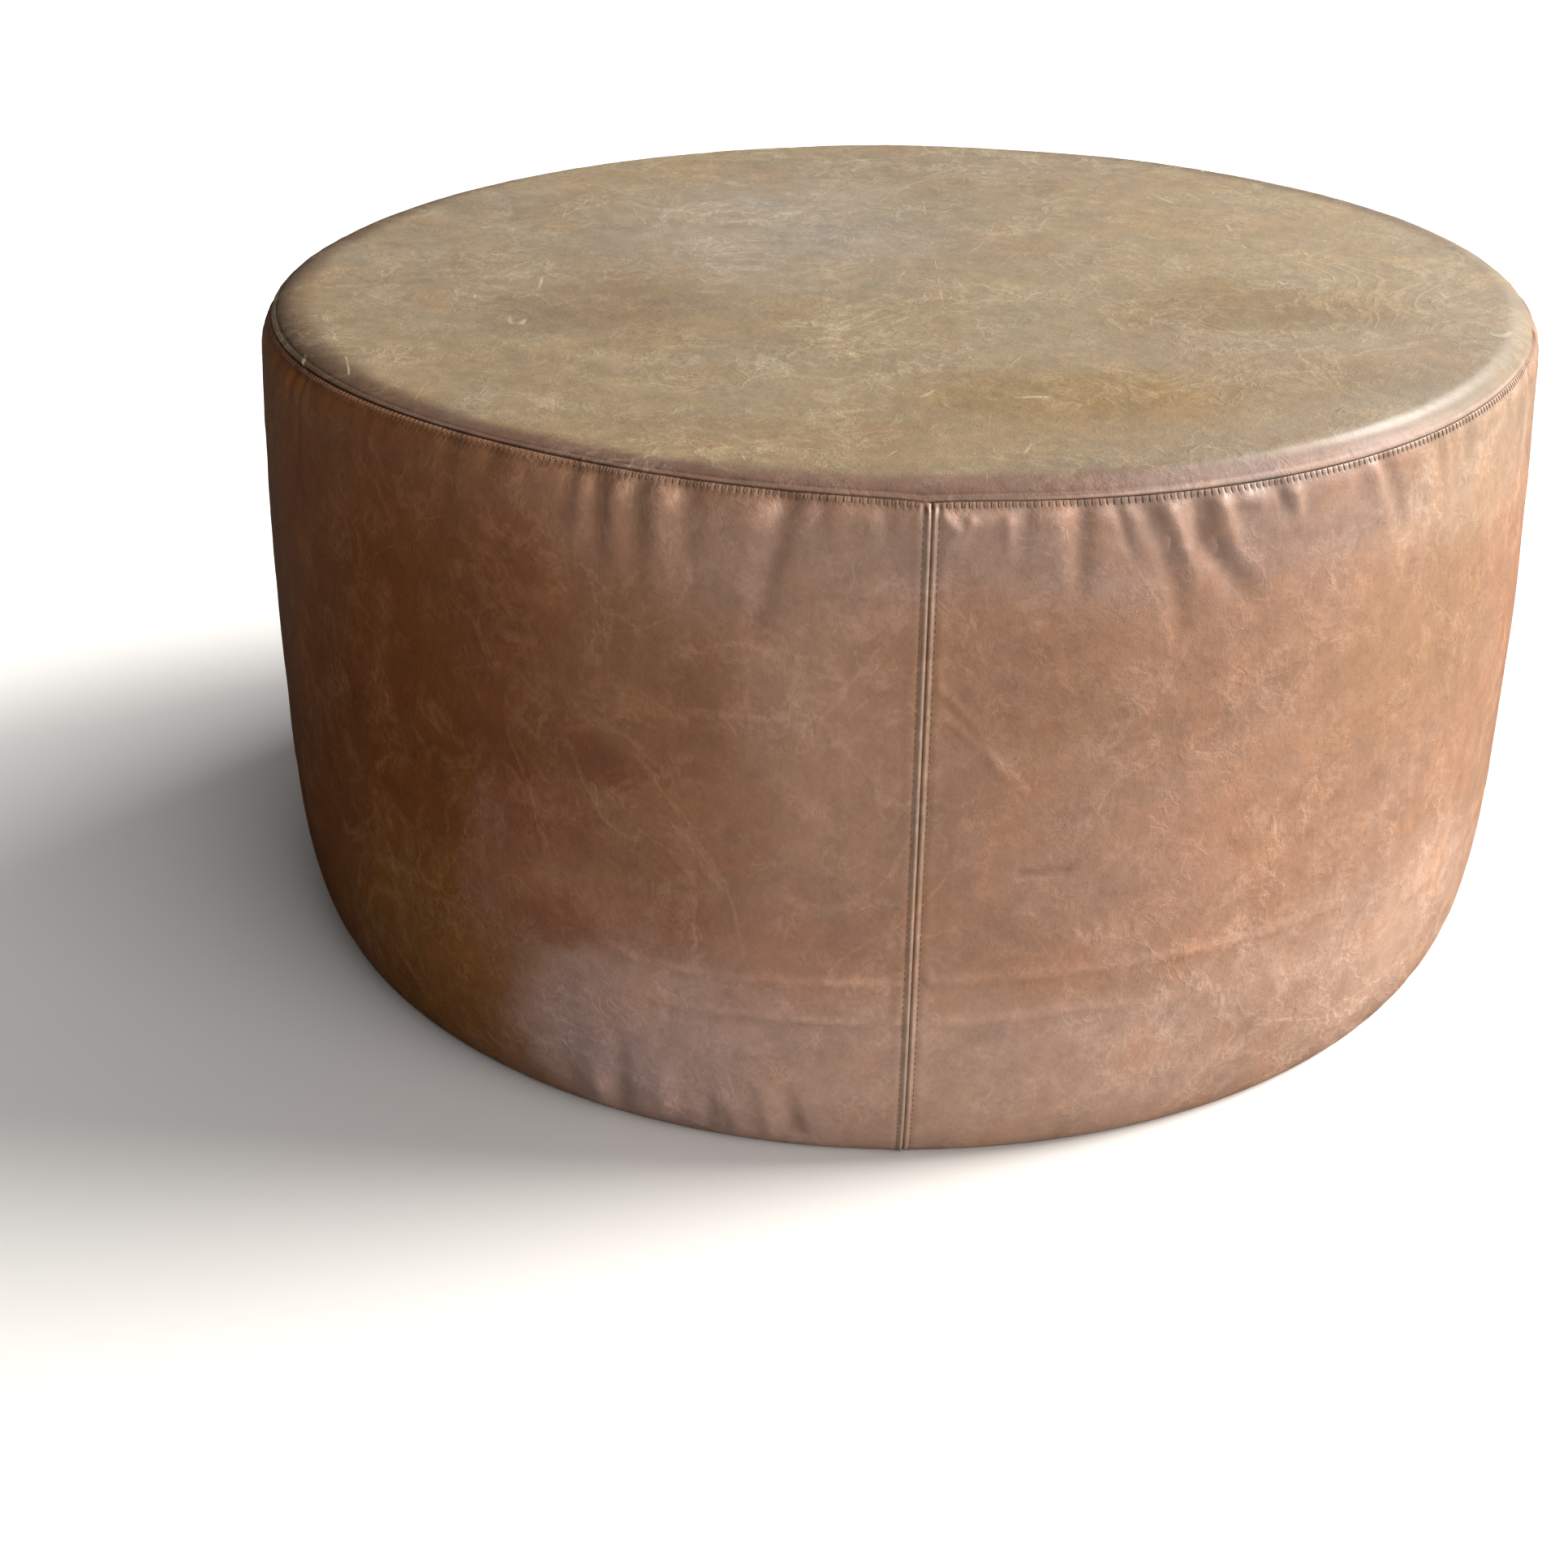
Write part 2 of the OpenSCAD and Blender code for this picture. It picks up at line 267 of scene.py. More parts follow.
# %% Strokes for the sides and the back
def chance_strokes(rng, first, last):
    """Between two arcs, gathers hang from the top seam, short puckers rise from the floor, and low
    ridges lie round the foot."""
    found = []
    arc = first
    while arc < last:
        drop = rng.uniform(14, 62)
        lean = rng.uniform(-0.25, 0.25) * drop
        depth = -rng.uniform(0.5, 2.3)
        found.append(([(arc, 423), (arc + lean * 0.4, 423 - drop * 0.5), (arc + lean, 423 - drop)],
                      rng.uniform(4, 7.5), depth, depth * 0.2))
        arc += rng.uniform(13, 44)
    arc = first
    while arc < last:
        rise = rng.uniform(18, 60)
        depth = -rng.uniform(0.6, 1.9)
        found.append(([(arc, 5), (arc + rng.uniform(-6, 6), 5 + rise)],
                      rng.uniform(5, 8), depth, depth * 0.15))
        arc += rng.uniform(30, 95)
    arc = first
    while arc < last:
        level = rng.uniform(80, 150)
        found.append(([(arc, level), (arc + 60, level + rng.uniform(-4, 4)),
                       (arc + rng.uniform(90, 170), level + rng.uniform(-6, 6))],
                      rng.uniform(2.5, 4.5), rng.uniform(0.4, 0.9), 0.2))
        arc += rng.uniform(60, 190)
    return found


half_round = np.pi * top_r
unseen = chance_strokes(np.random.default_rng(7), 345, 2 * half_round - 440)
print(len(unseen), "more drawn by chance")

# %% [markdown]
# ## Where the seams run
#
# The top seam isn't quite level: it sits a few millimetres high at the front left and low at the front
# right, and dips in a small V where it meets the front seam. The upright seams lean a little too.
# Small faults like these are what make a hand-sewn cover look sewn by hand.

# %% Seam lines
QUARTERS = 4
STITCHES = 167


def from_front(angle):
    """The arc in millimetres from the front seam, from minus half a turn to plus half a turn."""
    return ((angle + np.pi / 2 + np.pi) % TURN - np.pi) * top_r


def seam_height(angle):
    """Height of the top seam: slow waves of one, two and three to a turn, which cross at the front seam,
    and a small V at each upright seam."""
    turn = angle + np.pi / 2
    wave = 0.5 * np.sin(turn) + 2.4 * np.sin(2 * turn) + 2.0 * np.sin(3 * turn)
    to_seam = ((angle / (TURN / QUARTERS) + 0.5) % 1 - 0.5) * TURN / QUARTERS * top_r
    return seam_z + 2.4 - wave - 1.3 * np.exp(-np.abs(to_seam) / 14)


def seam_lean(z, amount):
    """How far an upright seam stands to the side of its place, in millimetres of arc."""
    return amount * (z - height / 2) / (height / 2)

# %% [markdown]
# ## Shells from grids
#
# Leather has a thickness, and its cut edge can be seen where two panels meet. A Solidify modifier
# could give it one, but here the inner face is worked out as well as the outer one, and the two are
# joined into one closed skin. The outer face is a fine grid of rows along the tape and columns round
# the pouf, and the inner face has the same columns and only a few rows.

# %% Mesh from arrays
def new_piece(name, points, *faces):
    """A mesh object from points in millimetres and one or more arrays of faces, each with as many corner
    numbers to a row as its faces have corners."""
    mesh = bpy.data.meshes.new(name)
    corners = np.concatenate([part.reshape(-1) for part in faces])
    sizes = np.concatenate([np.full(len(part), part.shape[1]) for part in faces])
    mesh.vertices.add(len(points))
    mesh.vertices.foreach_set("co", (points * MM).astype(np.float32).reshape(-1))
    mesh.loops.add(len(corners))
    mesh.loops.foreach_set("vertex_index", corners.astype(np.int32))
    mesh.polygons.add(len(sizes))
    starts = np.concatenate([[0], np.cumsum(sizes)[:-1]])
    mesh.polygons.foreach_set("loop_start", starts.astype(np.int32))
    mesh.polygons.foreach_set("use_smooth", np.ones(len(sizes), bool))
    mesh.update(calc_edges=True)
    mesh.validate()
    piece = bpy.data.objects.new(name, mesh)
    bpy.context.scene.collection.objects.link(piece)
    print(name, len(points), "points", int((sizes - 2).sum()), "triangles")
    return piece


def grid_faces(rows, columns, close_rows=False, close_columns=False):
    """Corner numbers of the squares of a grid of rows by columns, wrapped round where it is closed."""
    i = np.arange(rows if close_rows else rows - 1)[:, None]
    j = np.arange(columns if close_columns else columns - 1)[None, :]
    below, right = (i + 1) % rows, (j + 1) % columns
    return np.stack([i * columns + j, below * columns + j, below * columns + right,
                     i * columns + right], -1).reshape(-1, 4)


def shell(name, outer, inner):
    """One closed skin: the outer grid, then the inner grid walked back, with a cap at each end."""
    grid = np.concatenate([outer, inner[::-1]])
    rows, columns = grid.shape[:2]
    faces = grid_faces(rows, columns, close_rows=True)
    ring = np.arange(rows) * columns
    caps = np.stack([ring, (ring + columns - 1)[::-1]])
    return new_piece(name, grid.reshape(-1, 3), faces, caps)


def give(piece, name, values):
    """Stores a colour or a number at each point of a piece, for its material to read."""
    values = np.asarray(values, np.float32)
    if values.ndim > 1:
        store = piece.data.attributes.new(name, "FLOAT_COLOR", "POINT")
        opaque = np.ones((len(values), 1), np.float32)
        store.data.foreach_set("color", np.concatenate([values, opaque], 1).reshape(-1))
    else:
        store = piece.data.attributes.new(name, "FLOAT", "POINT")
        store.data.foreach_set("value", values)


def graded(length, first, largest, growth):
    """Distances from 0 to length whose steps start at first and grow by a factor up to largest."""
    steps = [first]
    while sum(steps) < length:
        steps.append(min(steps[-1] * growth, largest))
    places = np.concatenate([[0], np.cumsum(steps)])
    return places * length / places[-1]

# %% [markdown]
# ## Seam profiles
#
# At a seam the leather bends inwards to its stitches. So a panel's edge follows a quarter circle down,
# and beside an upright seam the seam allowances underneath lift two soft strips, each held down by a
# row of stitches four millimetres out.

# %% Edge and seam shapes
def edge_drop(distance, radius=1.0):
    """Quarter circle: down by its radius at the very edge, level from the radius away."""
    d = np.clip(radius - distance, 0, radius)
    return radius - np.sqrt(radius ** 2 - d ** 2)


def seam_strips(side, stitch):
    """Profile across an upright seam at side millimetres from it: raised strips, and a groove along each
    stitch row that dips once for each stitch."""
    d = np.abs(side)
    strip = np.where(side < 0, 1.15, 0.75) * np.exp(-((d - 1.5) / np.where(side < 0, 1.5, 1.15)) ** 2)
    groove = np.exp(-((d - stitch_offset) / 1.1) ** 2)
    apron = np.exp(-((d - 6.8) / 3.0) ** 2)
    return 1.35 * strip - groove * (np.where(side < 0, 0.4, 0.2) + 0.2 * stitch) + 0.3 * apron


def stitch_wave(along, pitch):
    """1 where a stitch goes in and 0 half way along it."""
    return 0.5 + 0.5 * np.cos(TURN * along / pitch)


def level_off(relief, deepest):
    """Hollows stop at a depth, -h tanh(-x / h), because the filling under the leather holds them up."""
    return np.where(relief < 0, -deepest * np.tanh(-relief / deepest), relief)

# %% Relief of the side
def side_relief(angle, z, down, above_floor, seam_side, column):
    """Everything that raises or sinks the side leather, in millimetres: slow waves, folds, the seam
    strips, the dimple under each stitch, and fine unevenness. It fades out where it meets the floor."""
    arc = from_front(angle)
    place = np.stack([top_r * np.cos(angle), top_r * np.sin(angle), z], -1)
    out = 0.9 * cloud(place, (150, 150, 120), 11) + 0.5 * rough_cloud(place, (60, 60, 34), 12)
    out += 0.22 * rough_cloud(place, (14, 14, 10), 15)
    uneven = 1.7 + 0.8 * cloud(place, (24, 24, 24), 17)
    for one in VALLEYS + RIDGES:
        out += uneven * stroke(arc, z, *one)
    for points, *rest in unseen:
        middle = points[0][0]
        near = (arc - middle + half_round) % (2 * half_round) - half_round + middle
        if np.abs(near - middle).min() < 200:
            out += 1.4 * stroke(near, z, points, *rest)
    gather = cloud(place * (1, 1, 0.25), (9, 9, 14), 21) * 0.75
    gather = gather + cloud(place * (1, 1, 0.2), (20, 20, 20), 22)
    out += 0.6 * gather * np.exp(-down / 26)
    out = level_off(out, 3.8) * smooth_step(-2, 12, down)
    pull = 0.6 + 0.4 * cloud(place * (1, 1, 0), (26, 26, 26), 23)
    pull *= 0.5 + 0.5 * smooth_step(-260, -90, arc)
    out -= 0.9 * pull * stitch_wave(column, 1.0) ** 1.5 * np.exp(-((down - 2.6) / 2.0) ** 2)
    out -= 0.25 * np.exp(-(down / 1.2) ** 2)
    strips = seam_strips(seam_side, stitch_wave(down, 4.0))
    strips = strips * smooth_step(0, 9, above_floor) * smooth_step(1, 6, down)
    return smooth_step(2, 36, above_floor) * out + strips

# %% [markdown]
# ## The side panels
#
# Four panels of about 68 by 43 centimetres make the side. A cylinder cut into four would show no
# seams, so each panel is its own grid: three columns to each stitch of the top seam, so that the
# dimples land on points of the mesh, and finer ones next to the upright seams.

# %% The surface of the side, and the grid of one panel
LEANS = [3.3, -2.0, 1.4, -2.6]
SEAM_ANGLES = [-np.pi / 2, 0.0, np.pi / 2, np.pi]
pitch = TURN / QUARTERS * top_r / STITCHES
side_length = tape_end - tape_of_height(seam_z)


def fit(piece, node):
    """Makes the piece move with the root, and hides the node of the design that it stands for."""
    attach(piece, "root")
    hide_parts(node)


def side_surface(quarter, column, down, depth=0.0):
    """Points of a quarter of the side, one row for each length down from the top seam and one column for
    each number of stitches from the left upright seam. Each point's tape starts at the top seam of its
    own angle, and its angle leans with the nearer upright seam."""
    column, down = np.asarray(column, float)[None, :], np.asarray(down, float)[:, None]
    gap = 0.1
    flat_arc = gap + column * (pitch - 2 * gap / STITCHES)
    base_angle = SEAM_ANGLES[quarter] + flat_arc / top_r
    first = tape_of_height(seam_height(base_angle)) + 0.06
    tape = first + down / side_length * (tape_end - first)
    z = np.interp(tape, line_tape, line_z)
    left, right = column * pitch, (STITCHES - column) * pitch
    lean = (seam_lean(z, LEANS[quarter]) * smooth_step(90, 0, left)
            + seam_lean(z, LEANS[(quarter + 1) % QUARTERS]) * smooth_step(90, 0, right))
    side = np.where(left < right, left, -right) + 0 * down
    angle = base_angle + lean / top_r
    out = side_relief(angle, z, tape - first, floor_tape - tape, side, column + 0 * down)
    drop = np.maximum(edge_drop(tape - first, 0.5), edge_drop(np.abs(side)))
    tuck = 0.5 * edge_drop(tape_end - tape)
    return on_cover(angle, tape, out - drop - tuck - depth)


def side_panel(name, quarter):
    """A closed shell: a fine outer face, and a coarser inner one a leather's thickness deeper."""
    near = graded(12.0, 0.3, 1.2, 1.14) / pitch
    middle = np.arange(3 * STITCHES + 1) / 3
    middle = middle[(middle > near[-1] + 0.2) & (middle < STITCHES - near[-1] - 0.2)]
    column = np.concatenate([near, middle, (STITCHES - near)[::-1]])
    near_top, near_base = graded(44.0, 0.3, 2.4, 1.1), graded(34.0, 0.4, 2.4, 1.15)
    between = np.arange(46.4, side_length - 35.5, 2.5)
    down = np.concatenate([near_top, between, side_length - near_base[::-1]])
    few = np.unique(np.concatenate([[0, 6, 12], np.arange(20, len(down), 12), [len(down) - 1]]))
    inner = side_surface(quarter, column, down[few], leather_t)
    return shell(name, side_surface(quarter, column, down), inner)


panels = {}
for quarter, name in enumerate(("front_right", "back_right", "back_left", "front_left")):
    panels[name] = side_panel("leather_side_" + name, quarter)
    fit(panels[name], "side_panel_" + name)

# %% [markdown]
# ## The top panel
#
# The top is one round piece with a soft edge that rolls over to the seam. A grid of rings and spokes
# crowds its points in the middle, so the number of spokes halves on the way in: many at the rolled
# edge, where the stitches pull, and few at the centre.

# %% Rings that halve their spokes
def ring_faces(outer_start, inner_start, outer_count, inner_count):
    """Faces between two rings. Equal rings give squares. A ring of half the count gives a square and a
    triangle side by side."""
    k = np.arange(inner_count)
    if outer_count == inner_count:
        after = (k + 1) % inner_count
        corners = [inner_start + k, outer_start + k, outer_start + after, inner_start + after]
        return np.stack(corners, 1), None
    a, b, c = outer_start + 2 * k, outer_start + 2 * k + 1, outer_start + (2 * k + 2) % outer_count
    p, q = inner_start + k, inner_start + (k + 1) % inner_count
    return np.stack([p, b, c, q], 1), np.stack([p, a, b], 1)


def top_relief(place, angle, up):
    """Relief of the top: a very slight crown, slow waves and fine unevenness, soft dents, and towards
    the seam a dimple at each stitch with a faint second line above it."""
    x, y = place[..., 0], place[..., 1]
    r = np.hypot(x, y)
    out = 1.6 * (1 - smooth_step(0, 400, r)) + 0.8 * cloud(place, (140, 140, 140), 31)
    out += 0.4 * rough_cloud(place, (60, 60, 60), 32) + 0.16 * rough_cloud(place, (13, 13, 13), 35)
    out -= 1.5 * np.exp(-(((x + 216) / 14) ** 2 + ((y + 204) / 6) ** 2))
    out += 1.2 * np.exp(-(((x + 214) / 16) ** 2 + ((y + 194) / 5) ** 2))
    out -= 0.9 * np.exp(-(((x + 198) / 5) ** 2 + ((y + 214) / 10) ** 2))
    pull = 0.6 + 0.4 * cloud(place, (24, 24, 24), 36)
    out -= 0.32 * pull * stitch_wave(angle / (TURN / QUARTERS / STITCHES), 1.0) * np.exp(-(up / 3) ** 2)
    out -= 0.28 * np.exp(-((up - 4.2) / 0.9) ** 2)
    out += 0.35 * np.exp(-((up - 2.2) / 1.4) ** 2)
    out += 0.3 * cloud(place, (9, 9, 9), 37) * np.exp(-up / 14)
    out *= smooth_step(-2, 5, up)
    return level_off(out, 3.2) + 0.45 * np.exp(-((up - 0.8) / 0.9) ** 2)


def top_panel():
    """Rings from the seam up over the roll and in to the middle, a cut edge at the seam, and the inner
    face with few rings. A single point closes each face in the middle."""
    full = 2 * QUARTERS * STITCHES
    seam_tape = tape_of_height(seam_z)
    spans = [(0, 58, 0.3, 2.6, full), (58, 258, 2.8, 4.4, full // 2),
             (258, 358, 4.4, 5.5, full // 4), (358, seam_tape - 6, 5.5, 7.5, full // 8)]
    rings = [(0.0, full)]
    for first, last, small, large, count in spans:
        rings += [(first + step, count) for step in graded(last - first, small, large, 1.1)[1:]]
    inside = [(up, full // 2) for up in (0.0, 2.0, 5.0, 14.0, 26.0, 60.0)]
    inside += [(140.0, full // 4), (240.0, full // 8), (360.0, full // 8)]
    blocks = []

    def ring(up, count, depth):
        """Stores the points of one ring and gives the number of its first point."""
        angle = np.arange(count) * TURN / count
        first = tape_of_height(seam_height(angle)) - 0.06
        tape = first * (1 - up / seam_tape)
        out = top_relief(on_cover(angle, tape, 0), angle, first - tape) - edge_drop(first - tape, 0.3)
        blocks.append(on_cover(angle, tape, out - depth))
        return sum(len(block) for block in blocks[:-1])

    outer = [(ring(up, count, 0.0), count) for up, count in rings]
    inner = [(ring(up, count, leather_t), count) for up, count in inside]
    squares, triangles = [], []

    def join(one, two, flip):
        """Faces between two rings, turned to look the other way for the inner face."""
        square, triangle = ring_faces(one[0], two[0], one[1], two[1])
        squares.append(square[:, ::-1] if flip else square)
        if triangle is not None:
            triangles.append(triangle[:, ::-1] if flip else triangle)

    for one, two in zip(outer[:-1], outer[1:]):
        join(one, two, False)
    for one, two in zip([outer[0]] + inner[:-1], inner):
        join(one, two, True)
    for (start, count), depth, flip in ((outer[-1], 0.0, False), (inner[-1], leather_t, True)):
        middle = ring(seam_tape, 1, depth)
        k = np.arange(count)
        fan = np.stack([np.full(count, middle), start + k, start + (k + 1) % count], 1)
        triangles.append(fan[:, ::-1] if flip else fan)
    return new_piece("leather_top", *(np.concatenate(part) for part in (blocks, squares, triangles)))


top = top_panel()
fit(top, "top_panel")

# %% [markdown]
# ## The base
#
# Underneath, two half discs of leather are sewn to the turned-up edge of the side, a little above the
# floor, and the zip lies in the slit between them. Each half is a grid stretched between the slit and
# the round rim, and it sags and ripples a little because nothing below presses it flat.

# %% Base panels
base_r = foot_r - foot_band - 0.2
slit_half = 8.5
slit_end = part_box("zip_top_stops")[1].x / MM + 1.0


def base_surface(x, share, way, depth=0.0):
    """Points between the slit, share 0, and the rim, share 1: y = edge + share (rim - edge) on the side
    that way gives, with ripples along the slit and puckers at the rim."""
    x, share = np.asarray(x, float)[None, :], np.asarray(share, float)[:, None]
    rim = np.sqrt(np.clip(base_r ** 2 - x ** 2, 0, None))
    edge = 0.15 + (slit_half - 0.15) * smooth_step(slit_end + 2.5, slit_end, np.abs(x))
    edge = np.minimum(edge, 0.9 * rim)
    y = way * (edge + share * (rim - edge))
    place = np.stack([x + 0 * y, y, 0 * y], -1)
    from_edge, from_rim = np.abs(y) - edge, base_r - np.hypot(x, y)
    sag = 0.5 * rough_cloud(place, (90, 90, 90), 51) + 0.25 * rough_cloud(place, (16, 30, 16), 54)
    sag += 0.35 * cloud(place, (11, 11, 11), 57) * np.exp(-from_rim / 18)
    sag -= 0.35 * np.exp(-((from_edge - 2.2) / 1.0) ** 2) + 0.35 * np.exp(-((from_rim - 3.8) / 1.0) ** 2)
    sag -= 0.6 * edge_drop(np.minimum(from_edge, from_rim))
    return np.stack([x + 0 * y, y, base_recess - sag * 0.9 + depth], -1)


def base_panel(name, way):
    """A closed shell whose columns run along the zip, finer at the ends of the slit and at the rim."""
    u = np.linspace(-1, 1, 121)
    finer = slit_end + np.linspace(-2, 4, 13)
    x = np.unique(np.concatenate([(base_r - 0.4) * np.sin(u * np.pi / 2), finer, -finer]))
    near = graded(0.09, 0.002, 0.012, 1.3)
    share = np.unique(np.concatenate([near, np.linspace(0.1, 0.9, 52), 1 - near]))
    share = share if way > 0 else share[::-1]
    few = np.unique(np.concatenate([np.arange(0, len(share), 9), [len(share) - 1]]))
    return shell(name, base_surface(x, share, way), base_surface(x, share[few], way, leather_t))


bases = {"front": base_panel("leather_base_front", -1), "back": base_panel("leather_base_back", 1)}
for name, piece in bases.items():
    fit(piece, "base_panel_" + name)

# %% [markdown]
# ## Stitches and teeth
#
# A stitch is a short length of waxed thread that comes out of one hole and goes into the next, and a
# zip tooth is a small rounded block. Both are one shape: a round or squarish bar with closed ends,
# bowed in the middle. It is worked out once and copied to every place as arrays, with only a few dozen
# faces, because there are thousands of them. An instancer would be lighter, but then the stitches
# would not be a mesh of their own.

# %% Small bars
def unit(vectors):
    """The same directions, one long."""
    return vectors / np.linalg.norm(vectors, axis=-1, keepdims=True)


def bars(name, centres, along, out, length, half_wide, half_high, bow=0.0, square=2.0, sides=6,
         stations=5):
    """One bar at each centre. Its section is a superellipse |x|^n + |y|^n = 1, its ends close along the
    same curve, and its middle stands out by bow from its ends."""
    centres, along, out = (np.asarray(a, float).reshape(-1, 3) for a in (centres, along, out))
    along = unit(along)
    across = unit(np.cross(along, out))
    out = np.cross(across, along)
    s = np.linspace(-1, 1, stations + 2)[1:-1] * (1 - 0.25 / stations)
    swell = (1 - np.abs(s) ** (square + 1)) ** (1 / (square + 1))
    turn = np.arange(sides) * TURN / sides + np.pi / sides
    x = np.sign(np.cos(turn)) * np.abs(np.cos(turn)) ** (2 / square) * half_wide
    y = np.sign(np.sin(turn)) * np.abs(np.sin(turn)) ** (2 / square) * half_high
    lift = bow * (1 - s ** 2)
    local_x = np.append((swell[:, None] * x).reshape(-1), [0, 0])
    local_y = np.append((swell[:, None] * y + lift[:, None]).reshape(-1), [0, 0])
    local_s = np.append(np.repeat(s, sides), [-1, 1]) * length / 2
    points = (centres[:, None] + local_s[None, :, None] * along[:, None]
              + local_x[None, :, None] * across[:, None] + local_y[None, :, None] * out[:, None])
    many = len(local_s)
    k = np.arange(sides)
    last = many - 2 - sides
    fans = np.concatenate([np.stack([np.full(sides, many - 2), (k + 1) % sides, k], 1),
                           np.stack([np.full(sides, many - 1), last + k, last + (k + 1) % sides], 1)])
    squares = grid_faces(stations, sides, close_columns=True)[:, ::-1]
    shift = (np.arange(len(centres)) * many)[:, None, None]
    faces = [(part + shift).reshape(-1, part.shape[1]) for part in (squares, fans)]
    return new_piece(name, points.reshape(-1, 3), *faces)

# %% Stitches of the top seam: short ties that cross from one panel to the other
thread_r = 0.42
down_step = np.array([0.6, 2.3, 4.0])
ties, tie_runs, tie_outs = [], [], []
for quarter in range(QUARTERS):
    column = np.arange(2, STITCHES - 1)
    rows = side_surface(quarter, column, down_step)
    raised = side_surface(quarter, column, down_step, -1.0)
    ties.append(rows[1])
    tie_runs.append(rows[2] - rows[0])
    tie_outs.append(raised[1] - rows[1])
ties, tie_runs, tie_outs = (np.concatenate(a) for a in (ties, tie_runs, tie_outs))
top_stitches = bars("stitches_top_seam", ties + 0.15 * unit(tie_outs), tie_runs, tie_outs,
                    3.9, 0.5, 0.32, 0.1)
fit(top_stitches, "top_seam_thread")
threads = [top_stitches]

# %% Stitches of the upright seams: a row on each side
down = np.arange(8.0, side_length - 27.0, 4.0) + 2.0
to_row = stitch_offset / pitch
for number, name in enumerate(("front", "right", "back", "left")):
    parts = [[], [], []]
    for quarter, column in ((number, to_row), ((number - 1) % QUARTERS, STITCHES - to_row)):
        at, below, above, raised = (side_surface(quarter, [column], down + step, depth)[:, 0]
                                    for step, depth in ((0, 0.0), (1.2, 0.0), (-1.2, 0.0), (0, -1.0)))
        for part, values in zip(parts, (at, below - above, raised - at)):
            part.append(values)
    at, run, outward = (np.concatenate(part) for part in parts)
    row = bars("stitches_" + name + "_seam", at, run, outward, 3.2, 0.36, 0.26, 0.12)
    fit(row, name + "_seam_thread")
    threads.append(row)

# %% Stitches round the base and beside the zip
count = round(TURN * (base_r - 3.8) / 4)
angle = np.arange(count) * TURN / count
ring = np.stack([np.cos(angle), np.sin(angle), 0 * angle], 1)
under = base_recess + 0.1
row = bars("stitches_base_seam", ring * (base_r - 3.8) + [0, 0, under], np.cross([0, 0, 1], ring),
           [0, 0, -1], 3.3, thread_r, 0.34, 0.25)
fit(row, "base_seam_thread")
threads.append(row)
for name, way in (("front", -1), ("back", 1)):
    x = np.arange(-slit_end, slit_end + 1, 4.0)
    centres = np.stack([x, 0 * x + way * (slit_half + 2.2), 0 * x + under], 1)
    row = bars("stitches_zip_" + name, centres, [1, 0, 0], [0, 0, -1], 3.2, thread_r, 0.34, 0.25)
    fit(row, "zip_stitching_" + name)
    threads.append(row)

# %% Zip teeth
teeth = []
tooth_w, tooth_pitch = 2.0, 4.0
for name in ("front", "back"):
    low, high = (np.array(corner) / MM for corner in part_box("zip_teeth_" + name))
    x = np.arange(low[0] + tooth_w / 2, high[0], tooth_pitch)
    middle = (low + high) / 2
    centres = np.stack([x, 0 * x + middle[1], 0 * x + middle[2]], 1)
    row = bars("teeth_" + name, centres, [0, 1, 0], [0, 0, 1], high[1] - low[1], tooth_w / 2,
               (high[2] - low[2]) / 2, 0.0, 4.0, 8, 4)
    fit(row, "zip_teeth_" + name)
    teeth.append(row)

# %% [markdown]
# ## Worn leather, in colour
#
# Hide takes its colour from years of hands, sun and polish: broad stains with soft, ragged borders.
# They could be noise in the material, but then nobody could say where they go. So they are painted on
# the points of the mesh: each stain is a centre, a size, a colour and a strength, and noise bends its
# border. Some of the paint is painted shade, highlight and reflection, where the light falls on the pouf.
# The material adds the fine things, the grain, veins and scratches, on top.

# %% Painting stains
leather_shade = 0.62


def hide_colour(red, green, blue):
    """A colour as the eye sees it, 0 to 255, turned into the share of light that the leather gives back,
    and darkened because the lights here are strong."""
    seen = np.array([red, green, blue]) / 255
    light = np.where(seen <= 0.04045, seen / 12.92, ((seen + 0.055) / 1.055) ** 2.4)
    return light * leather_shade


def paint(across, up, place, colour, stains, seed, bend=1.0):
    """The colour with each stain laid over it in turn: strength times exp(-d^4), where d is the distance
    from the stain's centre in its own half sizes, bent by noise."""
    shift = [bend * (16 * rough_cloud(place, (70, 70, 70), one) + 5 * cloud(place, (12, 12, 12), one + 5))
             for one in (seed, seed + 10)]
    for x, y, half_x, half_y, stain, strength in stains:
        d2 = ((across + shift[0] - x) / half_x) ** 2 + ((up + shift[1] - y) / half_y) ** 2
        share = (strength * np.exp(-d2 ** 2))[..., None]
        colour = colour * (1 - share) + hide_colour(*stain) * share
    return colour


def points_of(piece):
    """The points of a piece, in millimetres."""
    flat = np.zeros(len(piece.data.vertices) * 3, np.float32)
    piece.data.vertices.foreach_get("co", flat)
    return flat.reshape(-1, 3).astype(float) / MM
